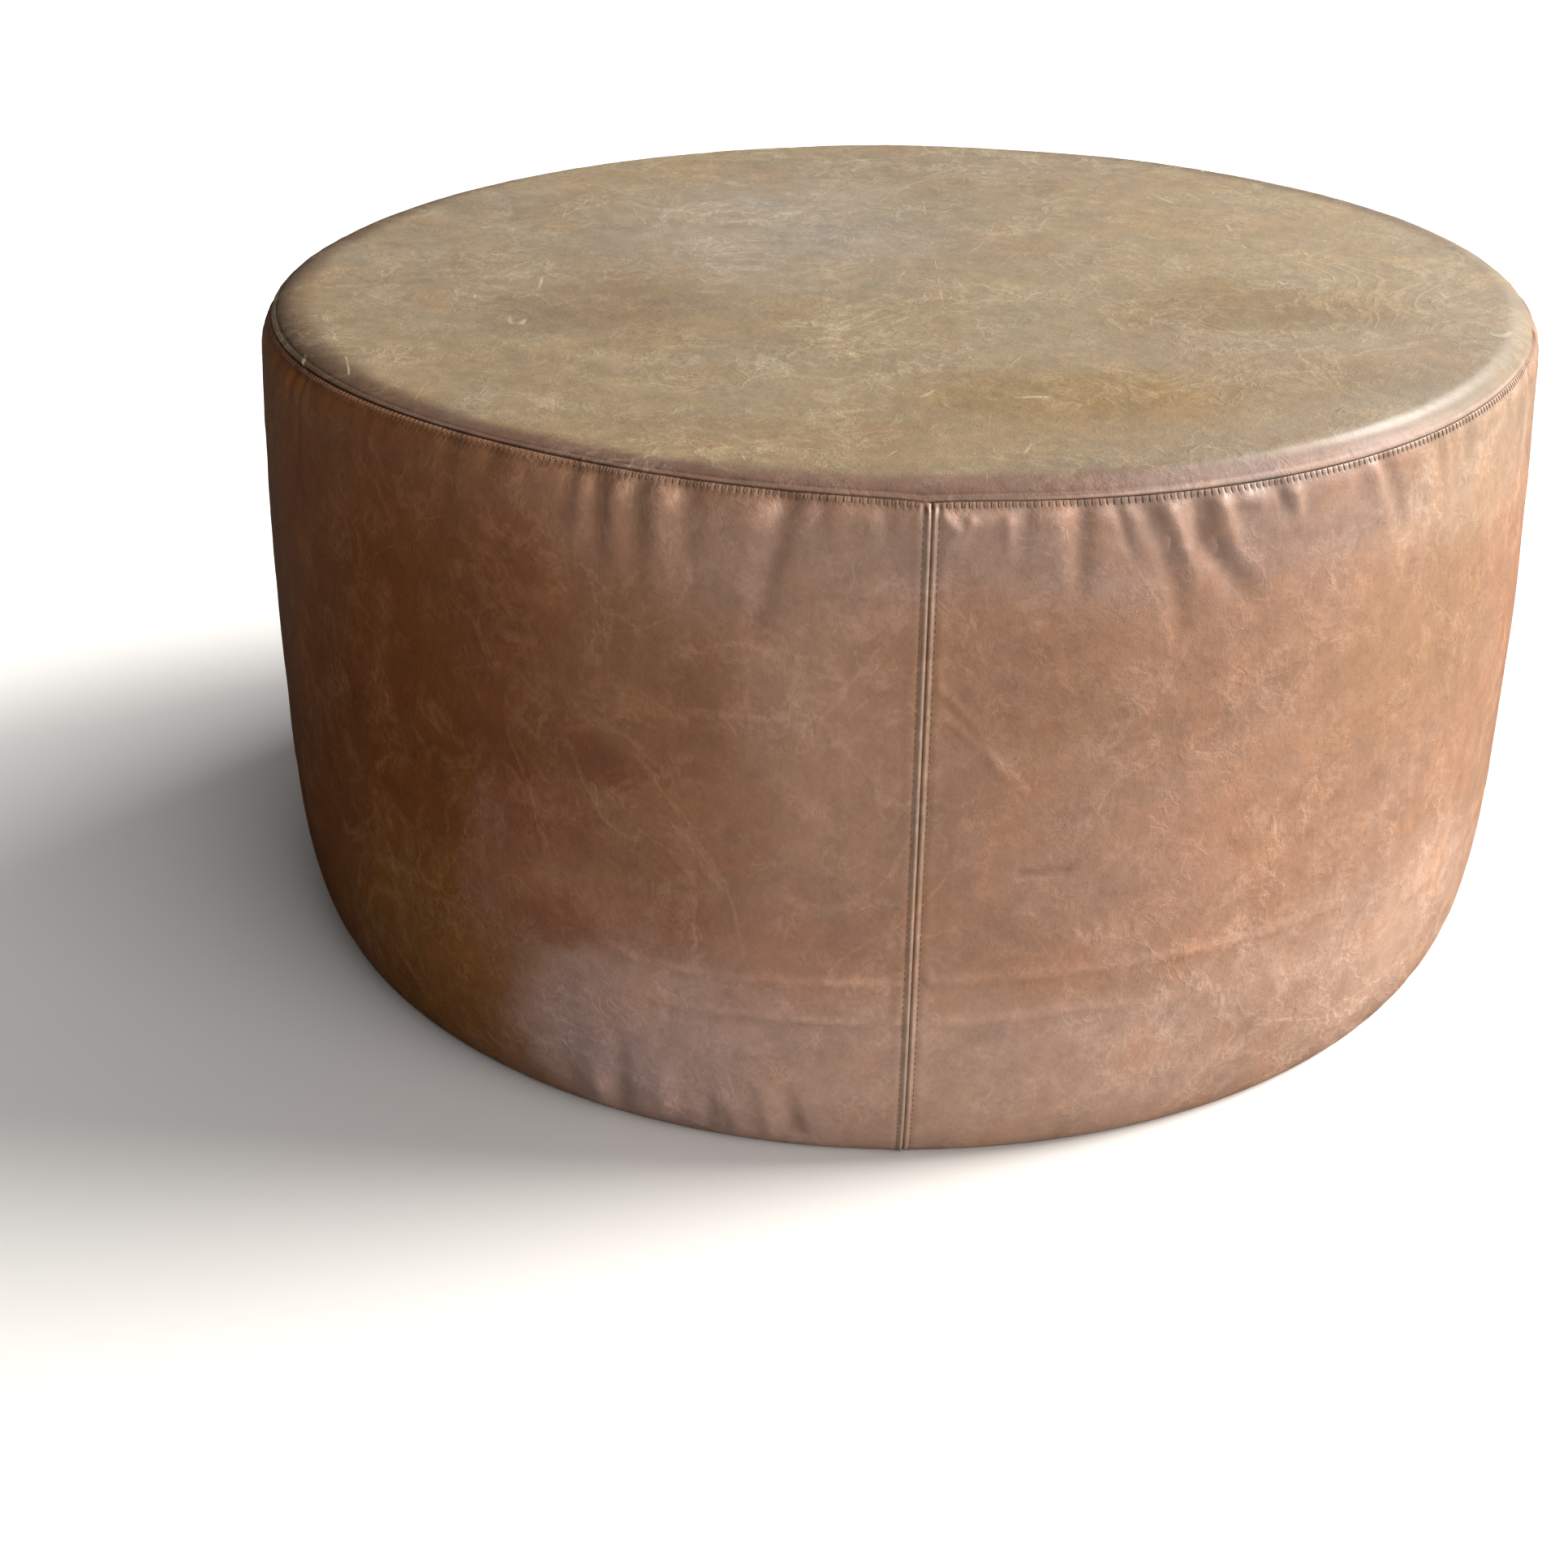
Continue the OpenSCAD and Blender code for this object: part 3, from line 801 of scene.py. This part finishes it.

# %% Stains of the side, with painted shade that darkens its left side, away from the window: centre, half sizes, colour, strength
SIDE_GROUND = (194, 149, 120)
SIDE_STAINS_AND_SHADE = [
    (-250, 240, 90, 250, (168, 112, 70), 0.6), (-470, 215, 190, 330, (156, 88, 10), 0.95),
    (-320, 265, 105, 190, (142, 78, 12), 0.95), (-235, 285, 50, 110, (146, 86, 42), 0.8),
    (-160, 300, 60, 100, (160, 108, 68), 0.8), (-320, 75, 95, 85, (160, 104, 42), 0.9),
    (-190, 180, 60, 45, (168, 118, 82), 0.7), (-120, 240, 50, 70, (172, 118, 82), 0.6),
    (-70, 385, 75, 40, (198, 158, 134), 0.7), (-40, 260, 40, 130, (196, 152, 124), 0.6),
    (-122, 60, 108, 84, (206, 168, 154), 0.92), (60, 62, 190, 70, (222, 182, 158), 0.8),
    (-172, 50, 68, 56, (214, 178, 164), 0.7), (-130, 118, 90, 16, (212, 172, 154), 0.5),
    (-222, 210, 42, 26, (158, 92, 66), 0.6), (-180, 262, 26, 16, (140, 76, 50), 0.6),
    (-150, 165, 70, 22, (186, 124, 98), 0.5), (-60, 150, 50, 40, (204, 146, 116), 0.5),
    (-262, 160, 20, 60, (178, 124, 100), 0.4), (-205, 150, 30, 16, (150, 84, 58), 0.5),
    (150, 402, 230, 34, (190, 156, 138), 0.8), (400, 390, 120, 50, (210, 180, 152), 0.7),
    (330, 300, 110, 60, (190, 148, 114), 0.7), (330, 75, 150, 75, (214, 176, 152), 0.8),
    (120, 190, 110, 60, (208, 160, 132), 0.6), (50, 330, 70, 50, (190, 138, 104), 0.6),
    (240, 60, 60, 40, (190, 150, 126), 0.6), (700, 250, 200, 150, (170, 116, 80), 0.7),
    (1000, 190, 220, 160, (182, 130, 94), 0.6), (-700, 240, 210, 200, (158, 98, 54), 0.8),
    (-1050, 220, 200, 150, (170, 116, 78), 0.7), (820, 70, 200, 60, (198, 156, 132), 0.6),
    (-950, 60, 240, 50, (194, 150, 126), 0.6),
]


def to_upright(angle, z):
    """Arc from the nearest upright seam, negative on its left."""
    turns = angle / (TURN / QUARTERS)
    nearest = np.round(turns).astype(int)
    leans = np.array(LEANS)[(nearest + 1) % QUARTERS]
    return (turns - nearest) * TURN / QUARTERS * top_r - seam_lean(z, leans)


def paint_side(piece):
    """Stains, some of them painted shade on the left; paler leather along the raised seam strips and the
    crests of folds, worn by rubbing and partly a painted highlight; and painted shade in the folds, at each
    stitch of the top seam and along the strip just under it."""
    place = points_of(piece)
    angle, z = np.arctan2(place[:, 1], place[:, 0]), place[:, 2]
    arc = from_front(angle)
    # The stains on the left are partly painted shade, darker away from the window.
    colour = paint(arc, z, place, hide_colour(*SIDE_GROUND), SIDE_STAINS_AND_SHADE, 41)
    side = to_upright(angle, z)
    # The pale strips beside each upright seam are rubbing wear and a painted highlight, stronger on the strip
    # left of the seam.
    rubbed_and_highlight = np.where(side < 0, 0.65, 0.4) * np.exp(-((np.abs(side) - 1.7) / 1.3) ** 2)
    colour = colour * (1 - rubbed_and_highlight[:, None]) + hide_colour(222, 196, 176) * rubbed_and_highlight[:, None]
    down = seam_height(angle) - z
    # Painted shade in the dimple under each stitch of the top seam.
    tie_shade = stitch_wave(angle * top_r / pitch, 1.0) * np.exp(-((down - 2.8) / 2.0) ** 2)
    # Crests of folds are paler, worn and partly painted highlight, and the folds get painted shade.
    crest_wear_and_highlight, crease_shade = (sum(stroke(arc, z, *one) for one in drawn) for drawn in (RIDGES, VALLEYS))
    ragged = 0.7 + 0.6 * cloud(place, (22, 22, 22), 91)
    wear_and_shade = (np.clip(crest_wear_and_highlight, 0, 1.2) * 0.3 + np.clip(crease_shade, -2, 0) * 0.13) * ragged - 0.34 * tie_shade
    # Painted shade along the strip just under the top seam.
    wear_and_shade -= 0.2 * smooth_step(6, 2, down)
    colour = colour * (1 + np.clip(wear_and_shade, -0.6, 0.6)[:, None] * (1, 1.04, 1.1))
    give(piece, "stain", np.clip(colour, 0, 1))
    give(piece, "polish", 0.02 + 0.26 * smooth_step(335, 395, z) * smooth_step(-320, -150, arc))

# %% Stains of the top, greyer towards the back partly as a painted reflection, and dirt and painted shade on its rolled edge, by arc and length up from the seam
TOP_GROUND = (153, 134, 106)
TOP_STAINS_AND_REFLECTION = [
    (-77, 130, 140, 160, (157, 144, 127), 0.85), (-200, -85, 90, 62, (138, 118, 92), 0.85),
    (-300, 100, 110, 200, (149, 135, 114), 0.6), (60, -60, 100, 90, (152, 136, 108), 0.5),
    (300, 80, 140, 220, (160, 140, 108), 0.8), (240, -90, 100, 60, (141, 117, 80), 0.85),
    (110, -275, 110, 55, (150, 119, 72), 0.85), (-40, -350, 200, 50, (152, 128, 94), 0.7),
    (240, -230, 80, 50, (146, 121, 86), 0.7), (40, 330, 160, 70, (142, 128, 108), 0.6),
    (40, 170, 50, 60, (146, 132, 107), 0.6), (-120, -230, 60, 60, (152, 136, 110), 0.5),
]
RIM_DIRT_AND_SHADE = [
    (-430, 15, 200, 20, (76, 52, 34), 0.9), (-200, 15, 170, 17, (100, 70, 57), 0.9),
    (20, 10, 150, 15, (132, 98, 82), 0.9), (210, 4, 140, 10, (160, 130, 118), 0.85),
    (-800, 13, 200, 17, (90, 66, 48), 0.8), (950, 13, 280, 16, (108, 85, 66), 0.7),
]


def paint_top(piece):
    """Stains, greyer towards the back partly as a painted reflection, then dirt and painted shade on the
    roll, darkest on the left, and a pale line where the edge rubs, which is also a painted highlight and is
    dimmed towards the left as painted shade. The length up from the seam is roll_r times the turn round the
    roll, and beyond the roll the way in from its rim."""
    place = points_of(piece)
    x, y, z = place.T
    r, arc = np.hypot(x, y), from_front(np.arctan2(y, x))
    seam_turn = math.asin((seam_z - roll_z) / roll_r)
    round_roll = np.arctan2(z - roll_z, np.clip(r - rim_r, 0, None)) - seam_turn
    up = roll_r * round_roll + np.clip(rim_r - r, 0, None)
    # The greyer stains towards the back of the top are partly a painted reflection.
    colour = paint(x, y, place, hide_colour(*TOP_GROUND), TOP_STAINS_AND_REFLECTION, 61)
    # Dirt and painted shade on the roll, darkest on the left.
    colour = paint(arc, up, place, colour, RIM_DIRT_AND_SHADE, 71, 0.22)
    # The pale line at the edge is rubbing wear and a painted highlight, dimmed towards the left as painted
    # shade.
    rubbed_and_highlight = 0.8 * np.exp(-((up - 0.8) / 1.3) ** 2)[:, None]
    pale = hide_colour(196, 164, 148) * (0.5 + 0.5 * smooth_step(-350, -40, arc))[:, None]
    give(piece, "stain", colour * (1 - rubbed_and_highlight) + pale * rubbed_and_highlight)
    shine = 0.1 + 0.32 * smooth_step(190, 310, arc) * smooth_step(700, 500, arc)
    give(piece, "polish", 0.01 + shine * np.exp(-((up - 12) / 7) ** 2))


for piece in panels.values():
    paint_side(piece)
paint_top(top)
print("stains:", len(SIDE_STAINS_AND_SHADE), "on the side,", len(TOP_STAINS_AND_REFLECTION), "on top,", len(RIM_DIRT_AND_SHADE), "on its edge")

# %% [markdown]
# ## Materials as sums
#
# A material is arithmetic on light and place. Wiring its nodes by hand hides the arithmetic, so here a
# small class stands for one value of a material. Adding or multiplying two of them adds the Math node
# that does it, and one method makes any other node.

# %% A value of a material
def math_sign(operation, reflected=False):
    """A method that adds one Math node. The reflected form puts the other value first."""
    def method(value, *other):
        values = (*other, value) if reflected else (value, *other)
        return make_node(value.tree, "ShaderNodeMath", {"operation": operation}, dict(enumerate(values)))
    return method


class Value:
    """An output socket of a node. Python's own signs work on it: v + 1, 1 - v, v * w, v / 2, abs(v)."""

    def __init__(self, tree, socket):
        self.tree, self.socket = tree, socket

    __add__, __radd__ = math_sign("ADD"), math_sign("ADD", True)
    __sub__, __rsub__ = math_sign("SUBTRACT"), math_sign("SUBTRACT", True)
    __mul__, __rmul__ = math_sign("MULTIPLY"), math_sign("MULTIPLY", True)
    __truediv__, __abs__ = math_sign("DIVIDE"), math_sign("ABSOLUTE")
    sine, larger = math_sign("SINE"), math_sign("MAXIMUM")


def make_node(tree, kind, settings=(), values=(), out=0):
    """Adds a node of a kind, sets its settings first and then its sockets, by name or number, to values
    or links, and gives one of its outputs."""
    node = tree.nodes.new(kind)
    for key, setting in dict(settings).items():
        setattr(node, key, setting)
    for key, value in dict(values).items():
        if isinstance(value, Value):
            tree.links.new(value.socket, node.inputs[key])
        else:
            node.inputs[key].default_value = value
    return Value(tree, node.outputs[out]) if node.outputs else None


class Finish:
    """A material in the making: its tree, the place on the object, and the few nodes used most."""

    def __init__(self, name):
        self.material = bpy.data.materials.new(name)
        self.material.use_nodes = True
        self.tree = self.material.node_tree
        self.tree.nodes.clear()
        self.place = self.node("ShaderNodeTexCoord", out="Object")

    def node(self, kind, settings=(), values=(), out=0):
        """Any node, by the same rules as make_node."""
        return make_node(self.tree, kind, settings, values, out)

    def stretched(self, scale=(1, 1, 1), turn=(0, 0, 0), shift=(0, 0, 0)):
        """The place, scaled, turned and shifted."""
        return self.node("ShaderNodeMapping", {}, {"Vector": self.place, "Scale": scale,
                                                   "Rotation": turn, "Location": shift})

    def noise(self, scale, detail=3.0, rough=0.55, place=None, bend=0.0):
        """Soft noise from 0 to 1 with so many waves to a metre."""
        values = {"Vector": place or self.place, "Scale": scale, "Detail": detail, "Roughness": rough}
        return self.node("ShaderNodeTexNoise", {}, {**values, "Distortion": bend})

    def cells(self, scale):
        """Distance from the nearest of many scattered points, so many to a metre."""
        return self.node("ShaderNodeTexVoronoi", {}, {"Vector": self.place, "Scale": scale}, "Distance")

    def between(self, value, low, high, kind="SMOOTHSTEP"):
        """0 where value is at low and 1 where it is at high."""
        return self.node("ShaderNodeMapRange", {"interpolation_type": kind},
                         {"Value": value, "From Min": low, "From Max": high})

    def same(self, grey):
        """A colour whose red, green and blue are all one value."""
        return self.node("ShaderNodeCombineColor", {}, {0: grey, 1: grey, 2: grey})

    def wandering(self, size, wide, place, detail, rough, bend):
        """Lines of noise: 1 where bent noise crosses its middle value, 0 from wide either side of it."""
        return self.between(abs(self.noise(size, detail, rough, place, bend) - 0.5), wide, 0.0)

    def blend(self, first, second, share, kind="MIX"):
        """Two colours mixed by a share."""
        return self.node("ShaderNodeMix", {"data_type": "RGBA", "blend_type": kind},
                         {0: share, 6: first, 7: second}, 2)

    def painted(self, name, out="Color"):
        """A colour, or a number with out Fac, stored on the points of the piece."""
        return self.node("ShaderNodeAttribute", {"attribute_name": name}, {}, out)

    def bump(self, height, distance, strength=1.0, normal=None):
        """A normal bent by a height, whose full range stands for a distance in metres."""
        values = {"Height": height, "Distance": distance, "Strength": strength}
        if normal is not None:
            values["Normal"] = normal
        return self.node("ShaderNodeBump", {}, values, "Normal")

    def surface(self, **values):
        """Ends the material with a Principled surface. Underscores in a name stand for spaces."""
        values = {key.replace("_", " "): value for key, value in values.items()}
        shader = self.node("ShaderNodeBsdfPrincipled", {}, values)
        self.node("ShaderNodeOutputMaterial", {}, {"Surface": shader})
        return self.material

# %% Leather
def leather(name, pale, vein_share, scratch_share, gloss, shine):
    """Stained hide: mottled in three sizes, crossed by soft pale veins and hair scratches, with a fine
    grain. A vein is where bent noise crosses its middle value, so it wanders and forks, and finer noise
    wears gaps in it."""
    f = Finish(name)
    mottle = (f.noise(14, 5, 0.6) * 0.9 + f.noise(60, 5, 0.62) + f.noise(300, 3, 0.6) * 0.6) / 2.5
    shade = f.between(mottle, 0.3, 0.7, "LINEAR") * 0.56 + 0.72
    colour = f.blend(f.painted("stain"), f.same(shade), 1.0, "MULTIPLY")
    rust = f.between(f.noise(17, 5, 0.7, bend=0.4), 0.48, 0.66)
    colour = f.blend(colour, (1.08, 0.92, 0.76, 1), rust * 0.45, "MULTIPLY")
    dusk = f.between(f.noise(12, 4, 0.6, f.stretched(shift=(4, 1, 2))), 0.5, 0.7)
    colour = f.blend(colour, (0.9, 0.96, 1.06, 1), dusk * 0.6, "MULTIPLY")
    veins = 0
    for size, wide, share, seed in ((9.0, 0.04, 0.8, 0.0), (21.0, 0.07, 0.8, 2.7), (60.0, 0.09, 0.6, 6.1)):
        line = f.wandering(size, wide, f.stretched(shift=(seed, 0, seed)), 4, 0.55, 1.1)
        here = f.between(f.noise(size * 0.6, 2, 0.5, f.stretched(shift=(0, seed, 3))), 0.46, 0.62)
        veins = line * here * share + veins
    veins = veins * (f.between(f.noise(150, 3, 0.6), 0.34, 0.6) * 0.6 + 0.4)
    colour = f.blend(colour, (1.42, 1.5, 1.6, 1), veins * vein_share * 1.6, "MULTIPLY")
    colour = f.blend(colour, pale, veins * vein_share * 0.3)
    hair = 0
    for turn, size, seed in ((0.5, 5.0, 0.0), (-0.7, 6.0, 3.1), (1.6, 5.0, 7.7), (0.1, 7.0, 5.2)):
        long_way = f.stretched((1, 0.2, 1), (0, 0, turn), (seed, seed, 0))
        here = f.between(f.noise(21, 2, 0.5, f.stretched(shift=(seed, 2, 1))), 0.56, 0.66)
        hair = f.wandering(size, 0.0018, long_way, 1, 0.4, 0.8) * here + hair
    colour = f.blend(colour, pale, hair * scratch_share)
    grain = f.cells(760) * 0.6 + f.noise(1500, 2) * 0.5
    normal = f.bump(grain, 0.0002, 0.7)
    normal = f.bump(veins, 0.0004, 0.6, normal)
    normal = f.bump(f.noise(110, 4, 0.6), 0.0012, 0.55, normal)
    rough = gloss + 0.18 * f.noise(55, 4) + veins * 0.06 - f.noise(7, 2) * 0.06
    return f.surface(Base_Color=colour, Roughness=rough, Normal=normal,
                     Coat_Weight=f.painted("polish", "Fac"), Coat_Roughness=0.3, Specular_IOR_Level=shine)


def cover_with(pieces, material):
    """Puts one material on each of some pieces, in place of any that they have."""
    for piece in pieces:
        piece.data.materials.clear()
        piece.data.materials.append(material)
    print(material.name, "on", ", ".join(piece.name for piece in pieces))


cover_with(panels.values(), leather("side_leather", (0.4, 0.26, 0.18, 1), 0.32, 0.22, 0.42, 0.34))
cover_with([top], leather("top_leather", (0.44, 0.38, 0.27, 1), 0.26, 0.5, 0.5, 0.24))
cover_with(bases.values(), leather("base_leather", (0.24, 0.16, 0.1, 1), 0.25, 0.1, 0.5, 0.3))
for piece in bases.values():
    place = points_of(piece)
    colour = paint(place[:, 0], place[:, 1], place, hide_colour(134, 92, 62),
                   [(-60, 90, 190, 130, (116, 78, 52), 0.6)], 81)
    give(piece, "stain", colour)
    give(piece, "polish", np.full(len(place), 0.03))

# %% Thread and brass
def waxed_thread(name, dark, light):
    """Linen thread: two plies that wind round each other, dulled by wax."""
    f = Finish(name)
    ply = f.noise(900, 2)
    colour = f.blend(dark, light, f.between(ply, 0.35, 0.65))
    return f.surface(Base_Color=colour, Roughness=0.55 + ply * 0.2, Normal=f.bump(ply, 0.0002, 0.6))


def old_brass(name):
    """Brass that has gone brown where nothing rubs it."""
    f = Finish(name)
    tarnish = f.between(f.noise(160, 5, 0.65), 0.4, 0.66)
    colour = f.blend((0.62, 0.43, 0.19, 1), (0.24, 0.15, 0.07, 1), tarnish)
    scuff = f.noise(900, 2, 0.5, f.stretched((1, 0.15, 1)))
    return f.surface(Base_Color=colour, Metallic=1.0 - tarnish * 0.25, Roughness=0.28 + tarnish * 0.3,
                     Normal=f.bump(scuff, 0.00008, 0.5))


brown_thread = waxed_thread("brown_thread", (0.085, 0.045, 0.028, 1), (0.16, 0.09, 0.055, 1))
tan_thread = waxed_thread("tan_thread", (0.19, 0.11, 0.07, 1), (0.3, 0.19, 0.125, 1))
brass = old_brass("zip_brass")
cover_with([top_stitches], brown_thread)
cover_with(threads[1:], tan_thread)
cover_with(teeth, brass)

# %% [markdown]
# ## What the cover hides
#
# The zip's tape, the cotton liner, the wadding and the foam keep their shapes from the design, and only
# need finishes. A woven finish is two sets of stripes at right angles: where one set is high the other
# dips under it. Wadding is matted fibre, and foam is open cells, so they are noise and Voronoi cells.

# %% Woven tape and calico, wadding and foam
def woven(name, dark, light, threads_per_metre):
    """Plain weave: the higher of two sine stripes that cross, one along X and one along Y + Z."""
    f = Finish(name)
    place = f.stretched((threads_per_metre,) * 3)
    x, y, z = (f.node("ShaderNodeSeparateXYZ", {}, {0: place}, axis) for axis in "XYZ")
    weave = (x * TURN).sine().larger(((y + z) * TURN).sine()) * 0.5 + 0.5
    colour = f.blend(dark, light, weave * 0.6 + f.noise(40, 4) * 0.5)
    return f.surface(Base_Color=colour, Roughness=0.85 - weave * 0.1, Normal=f.bump(weave, 0.0003, 0.7),
                     Sheen_Weight=0.2)


def matted(name, dark, light):
    """Polyester wadding: long soft fibres that lie every way."""
    f = Finish(name)
    fibre = f.noise(220, 6, 0.75, f.stretched((1, 1, 3)), 1.5)
    return f.surface(Base_Color=f.blend(dark, light, fibre), Roughness=0.9 + fibre * 0.05,
                     Normal=f.bump(fibre, 0.002, 0.8), Sheen_Weight=0.4)


def open_cells(name, dark, light):
    """Cut foam: a skin of small open bubbles, a little yellowed in clouds."""
    f = Finish(name)
    bubble = f.between(f.cells(420), 0.15, 0.55)
    colour = f.blend(dark, light, bubble * 0.5 + f.noise(9, 4) * 0.5)
    return f.surface(Base_Color=colour, Roughness=0.95 - bubble * 0.05, Normal=f.bump(bubble, 0.0009, 0.8))


HIDDEN_FINISHES = [
    (woven("zip_tape_weave", (0.035, 0.022, 0.015, 1), (0.11, 0.075, 0.05, 1), 900),
     ["zip_tape_front", "zip_tape_back"]),
    (brass, ["zip_top_stops", "zip_bottom_stop", "zip_slider", "zip_pull"]),
    (woven("calico", (0.55, 0.49, 0.38, 1), (0.78, 0.72, 0.6, 1), 700),
     ["liner_top", "liner_side", "liner_base"]),
    (matted("wadding", (0.72, 0.71, 0.68, 1), (0.9, 0.89, 0.86, 1)), ["wadding_top", "wadding_side"]),
    (open_cells("foam", (0.62, 0.5, 0.27, 1), (0.84, 0.74, 0.48, 1)), ["foam_topper", "foam_core"]),
]
for finish, names in HIDDEN_FINISHES:
    cover_with([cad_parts[name] for name in names], finish)
print("nodes that keep their shape:", sum(len(names) for _, names in HIDDEN_FINISHES))

# %% [markdown]
# ## Floor, light and camera
#
# The pouf stands in a white room with one big window on its right, a lamp behind it and weak light from
# the front. A sun with a wide angle gives a window's soft shadow with less noise than a large lamp
# would. The floor and the room are white to the camera and darker to the leather, which would look
# grey and flat if so much white shone back on it.

# %% Floor
mesh = bpy.data.meshes.new("floor")
mesh.from_pydata([(-12, -12, 0), (12, -12, 0), (12, 12, 0), (-12, 12, 0)], [], [(0, 1, 2, 3)])
floor = bpy.data.objects.new("floor", mesh)
bpy.context.scene.collection.objects.link(floor)
f = Finish("pale_floor")
seen = f.node("ShaderNodeLightPath", {}, {}, "Is Camera Ray")
mirrored = f.node("ShaderNodeLightPath", {}, {}, "Is Glossy Ray")
grey = seen * 0.42 + 0.42 - mirrored * 0.38
pale = f.node("ShaderNodeCombineColor", {}, {0: grey, 1: grey, 2: grey * 0.99})
mesh.materials.append(f.surface(Base_Color=pale, Roughness=0.9, Specular_IOR_Level=0.1))

# %% Lights and room
def add_light(name, kind, place, aim, energy, colour, **settings):
    """A lamp at a place, turned to shine at a point."""
    light = bpy.data.lights.new(name, kind)
    light.energy, light.color = energy, colour
    for key, setting in settings.items():
        setattr(light, key, setting)
    lamp = bpy.data.objects.new(name, light)
    bpy.context.scene.collection.objects.link(lamp)
    lamp.location = place
    lamp.rotation_euler = (Vector(aim) - Vector(place)).to_track_quat("-Z", "Y").to_euler()


add_light("window", "SUN", (3.0, 0.55, 2.1), (0, 0, 0.2), 5.7, (1.0, 0.96, 0.9), angle=math.radians(28))
add_light("high_window", "AREA", (1.5, 1.6, 2.3), (0, 0, 0.3), 60.0, (1.0, 0.98, 0.96), size=1.0)
add_light("second_window", "SUN", (2.0, -2.6, 1.5), (0, 0, 0.2), 1.6, (1.0, 0.96, 0.95),
          angle=math.radians(60))

# To all but the camera the room is dark on the left and bright on the right, as it is beside a window.
world = bpy.data.worlds.new("studio")
bpy.context.scene.world = world
world.use_nodes = True
world.node_tree.nodes.clear()
seen = make_node(world.node_tree, "ShaderNodeLightPath", {}, {}, "Is Camera Ray")
toward = make_node(world.node_tree, "ShaderNodeTexCoord", {}, {}, "Generated")
side_on = make_node(world.node_tree, "ShaderNodeSeparateXYZ", {}, {0: toward}, "X")
room = make_node(world.node_tree, "ShaderNodeMapRange", {"interpolation_type": "SMOOTHSTEP"},
                 {"Value": side_on, "From Min": -0.6, "From Max": 1.0, "To Min": 0.03, "To Max": 0.9})
strength = seen + (1 - seen) * room
sky = make_node(world.node_tree, "ShaderNodeBackground", {},
                {"Color": (1.0, 0.97, 0.94, 1), "Strength": strength})
make_node(world.node_tree, "ShaderNodeOutputWorld", {}, {"Surface": sky})
print("lights:", ", ".join(lamp.name for lamp in bpy.data.lights))

# %% Camera, 1.46 metres from the middle and 0.82 metres up, looking down at 29 degrees
# The columns of its matrix are right, up, backwards and the place of the eye.
camera_data = bpy.data.cameras.new("camera")
camera_data.lens, camera_data.sensor_width = 48.57, 36.0
camera = bpy.data.objects.new("camera", camera_data)
bpy.context.scene.collection.objects.link(camera)
bpy.context.scene.camera = camera
turn, heading, tilt, roll = -0.0455, math.radians(-0.447), math.radians(28.569), math.radians(-0.323)
eye = Vector((1.459 * math.sin(turn), -1.459 * math.cos(turn), 0.8196))
ahead = Vector((math.sin(heading) * math.cos(tilt), math.cos(heading) * math.cos(tilt), -math.sin(tilt)))
level = Vector((math.cos(heading), -math.sin(heading), 0))
above = level.cross(ahead)
right = level * math.cos(roll) + above * math.sin(roll)
upward = above * math.cos(roll) - level * math.sin(roll)
camera.matrix_world = Matrix((*zip(right, upward, -ahead, eye), (0, 0, 0, 1)))
print("camera at", [round(part, 2) for part in eye])

bpy.context.scene.view_settings.view_transform = "Standard"
bpy.context.scene.view_settings.look = "None"
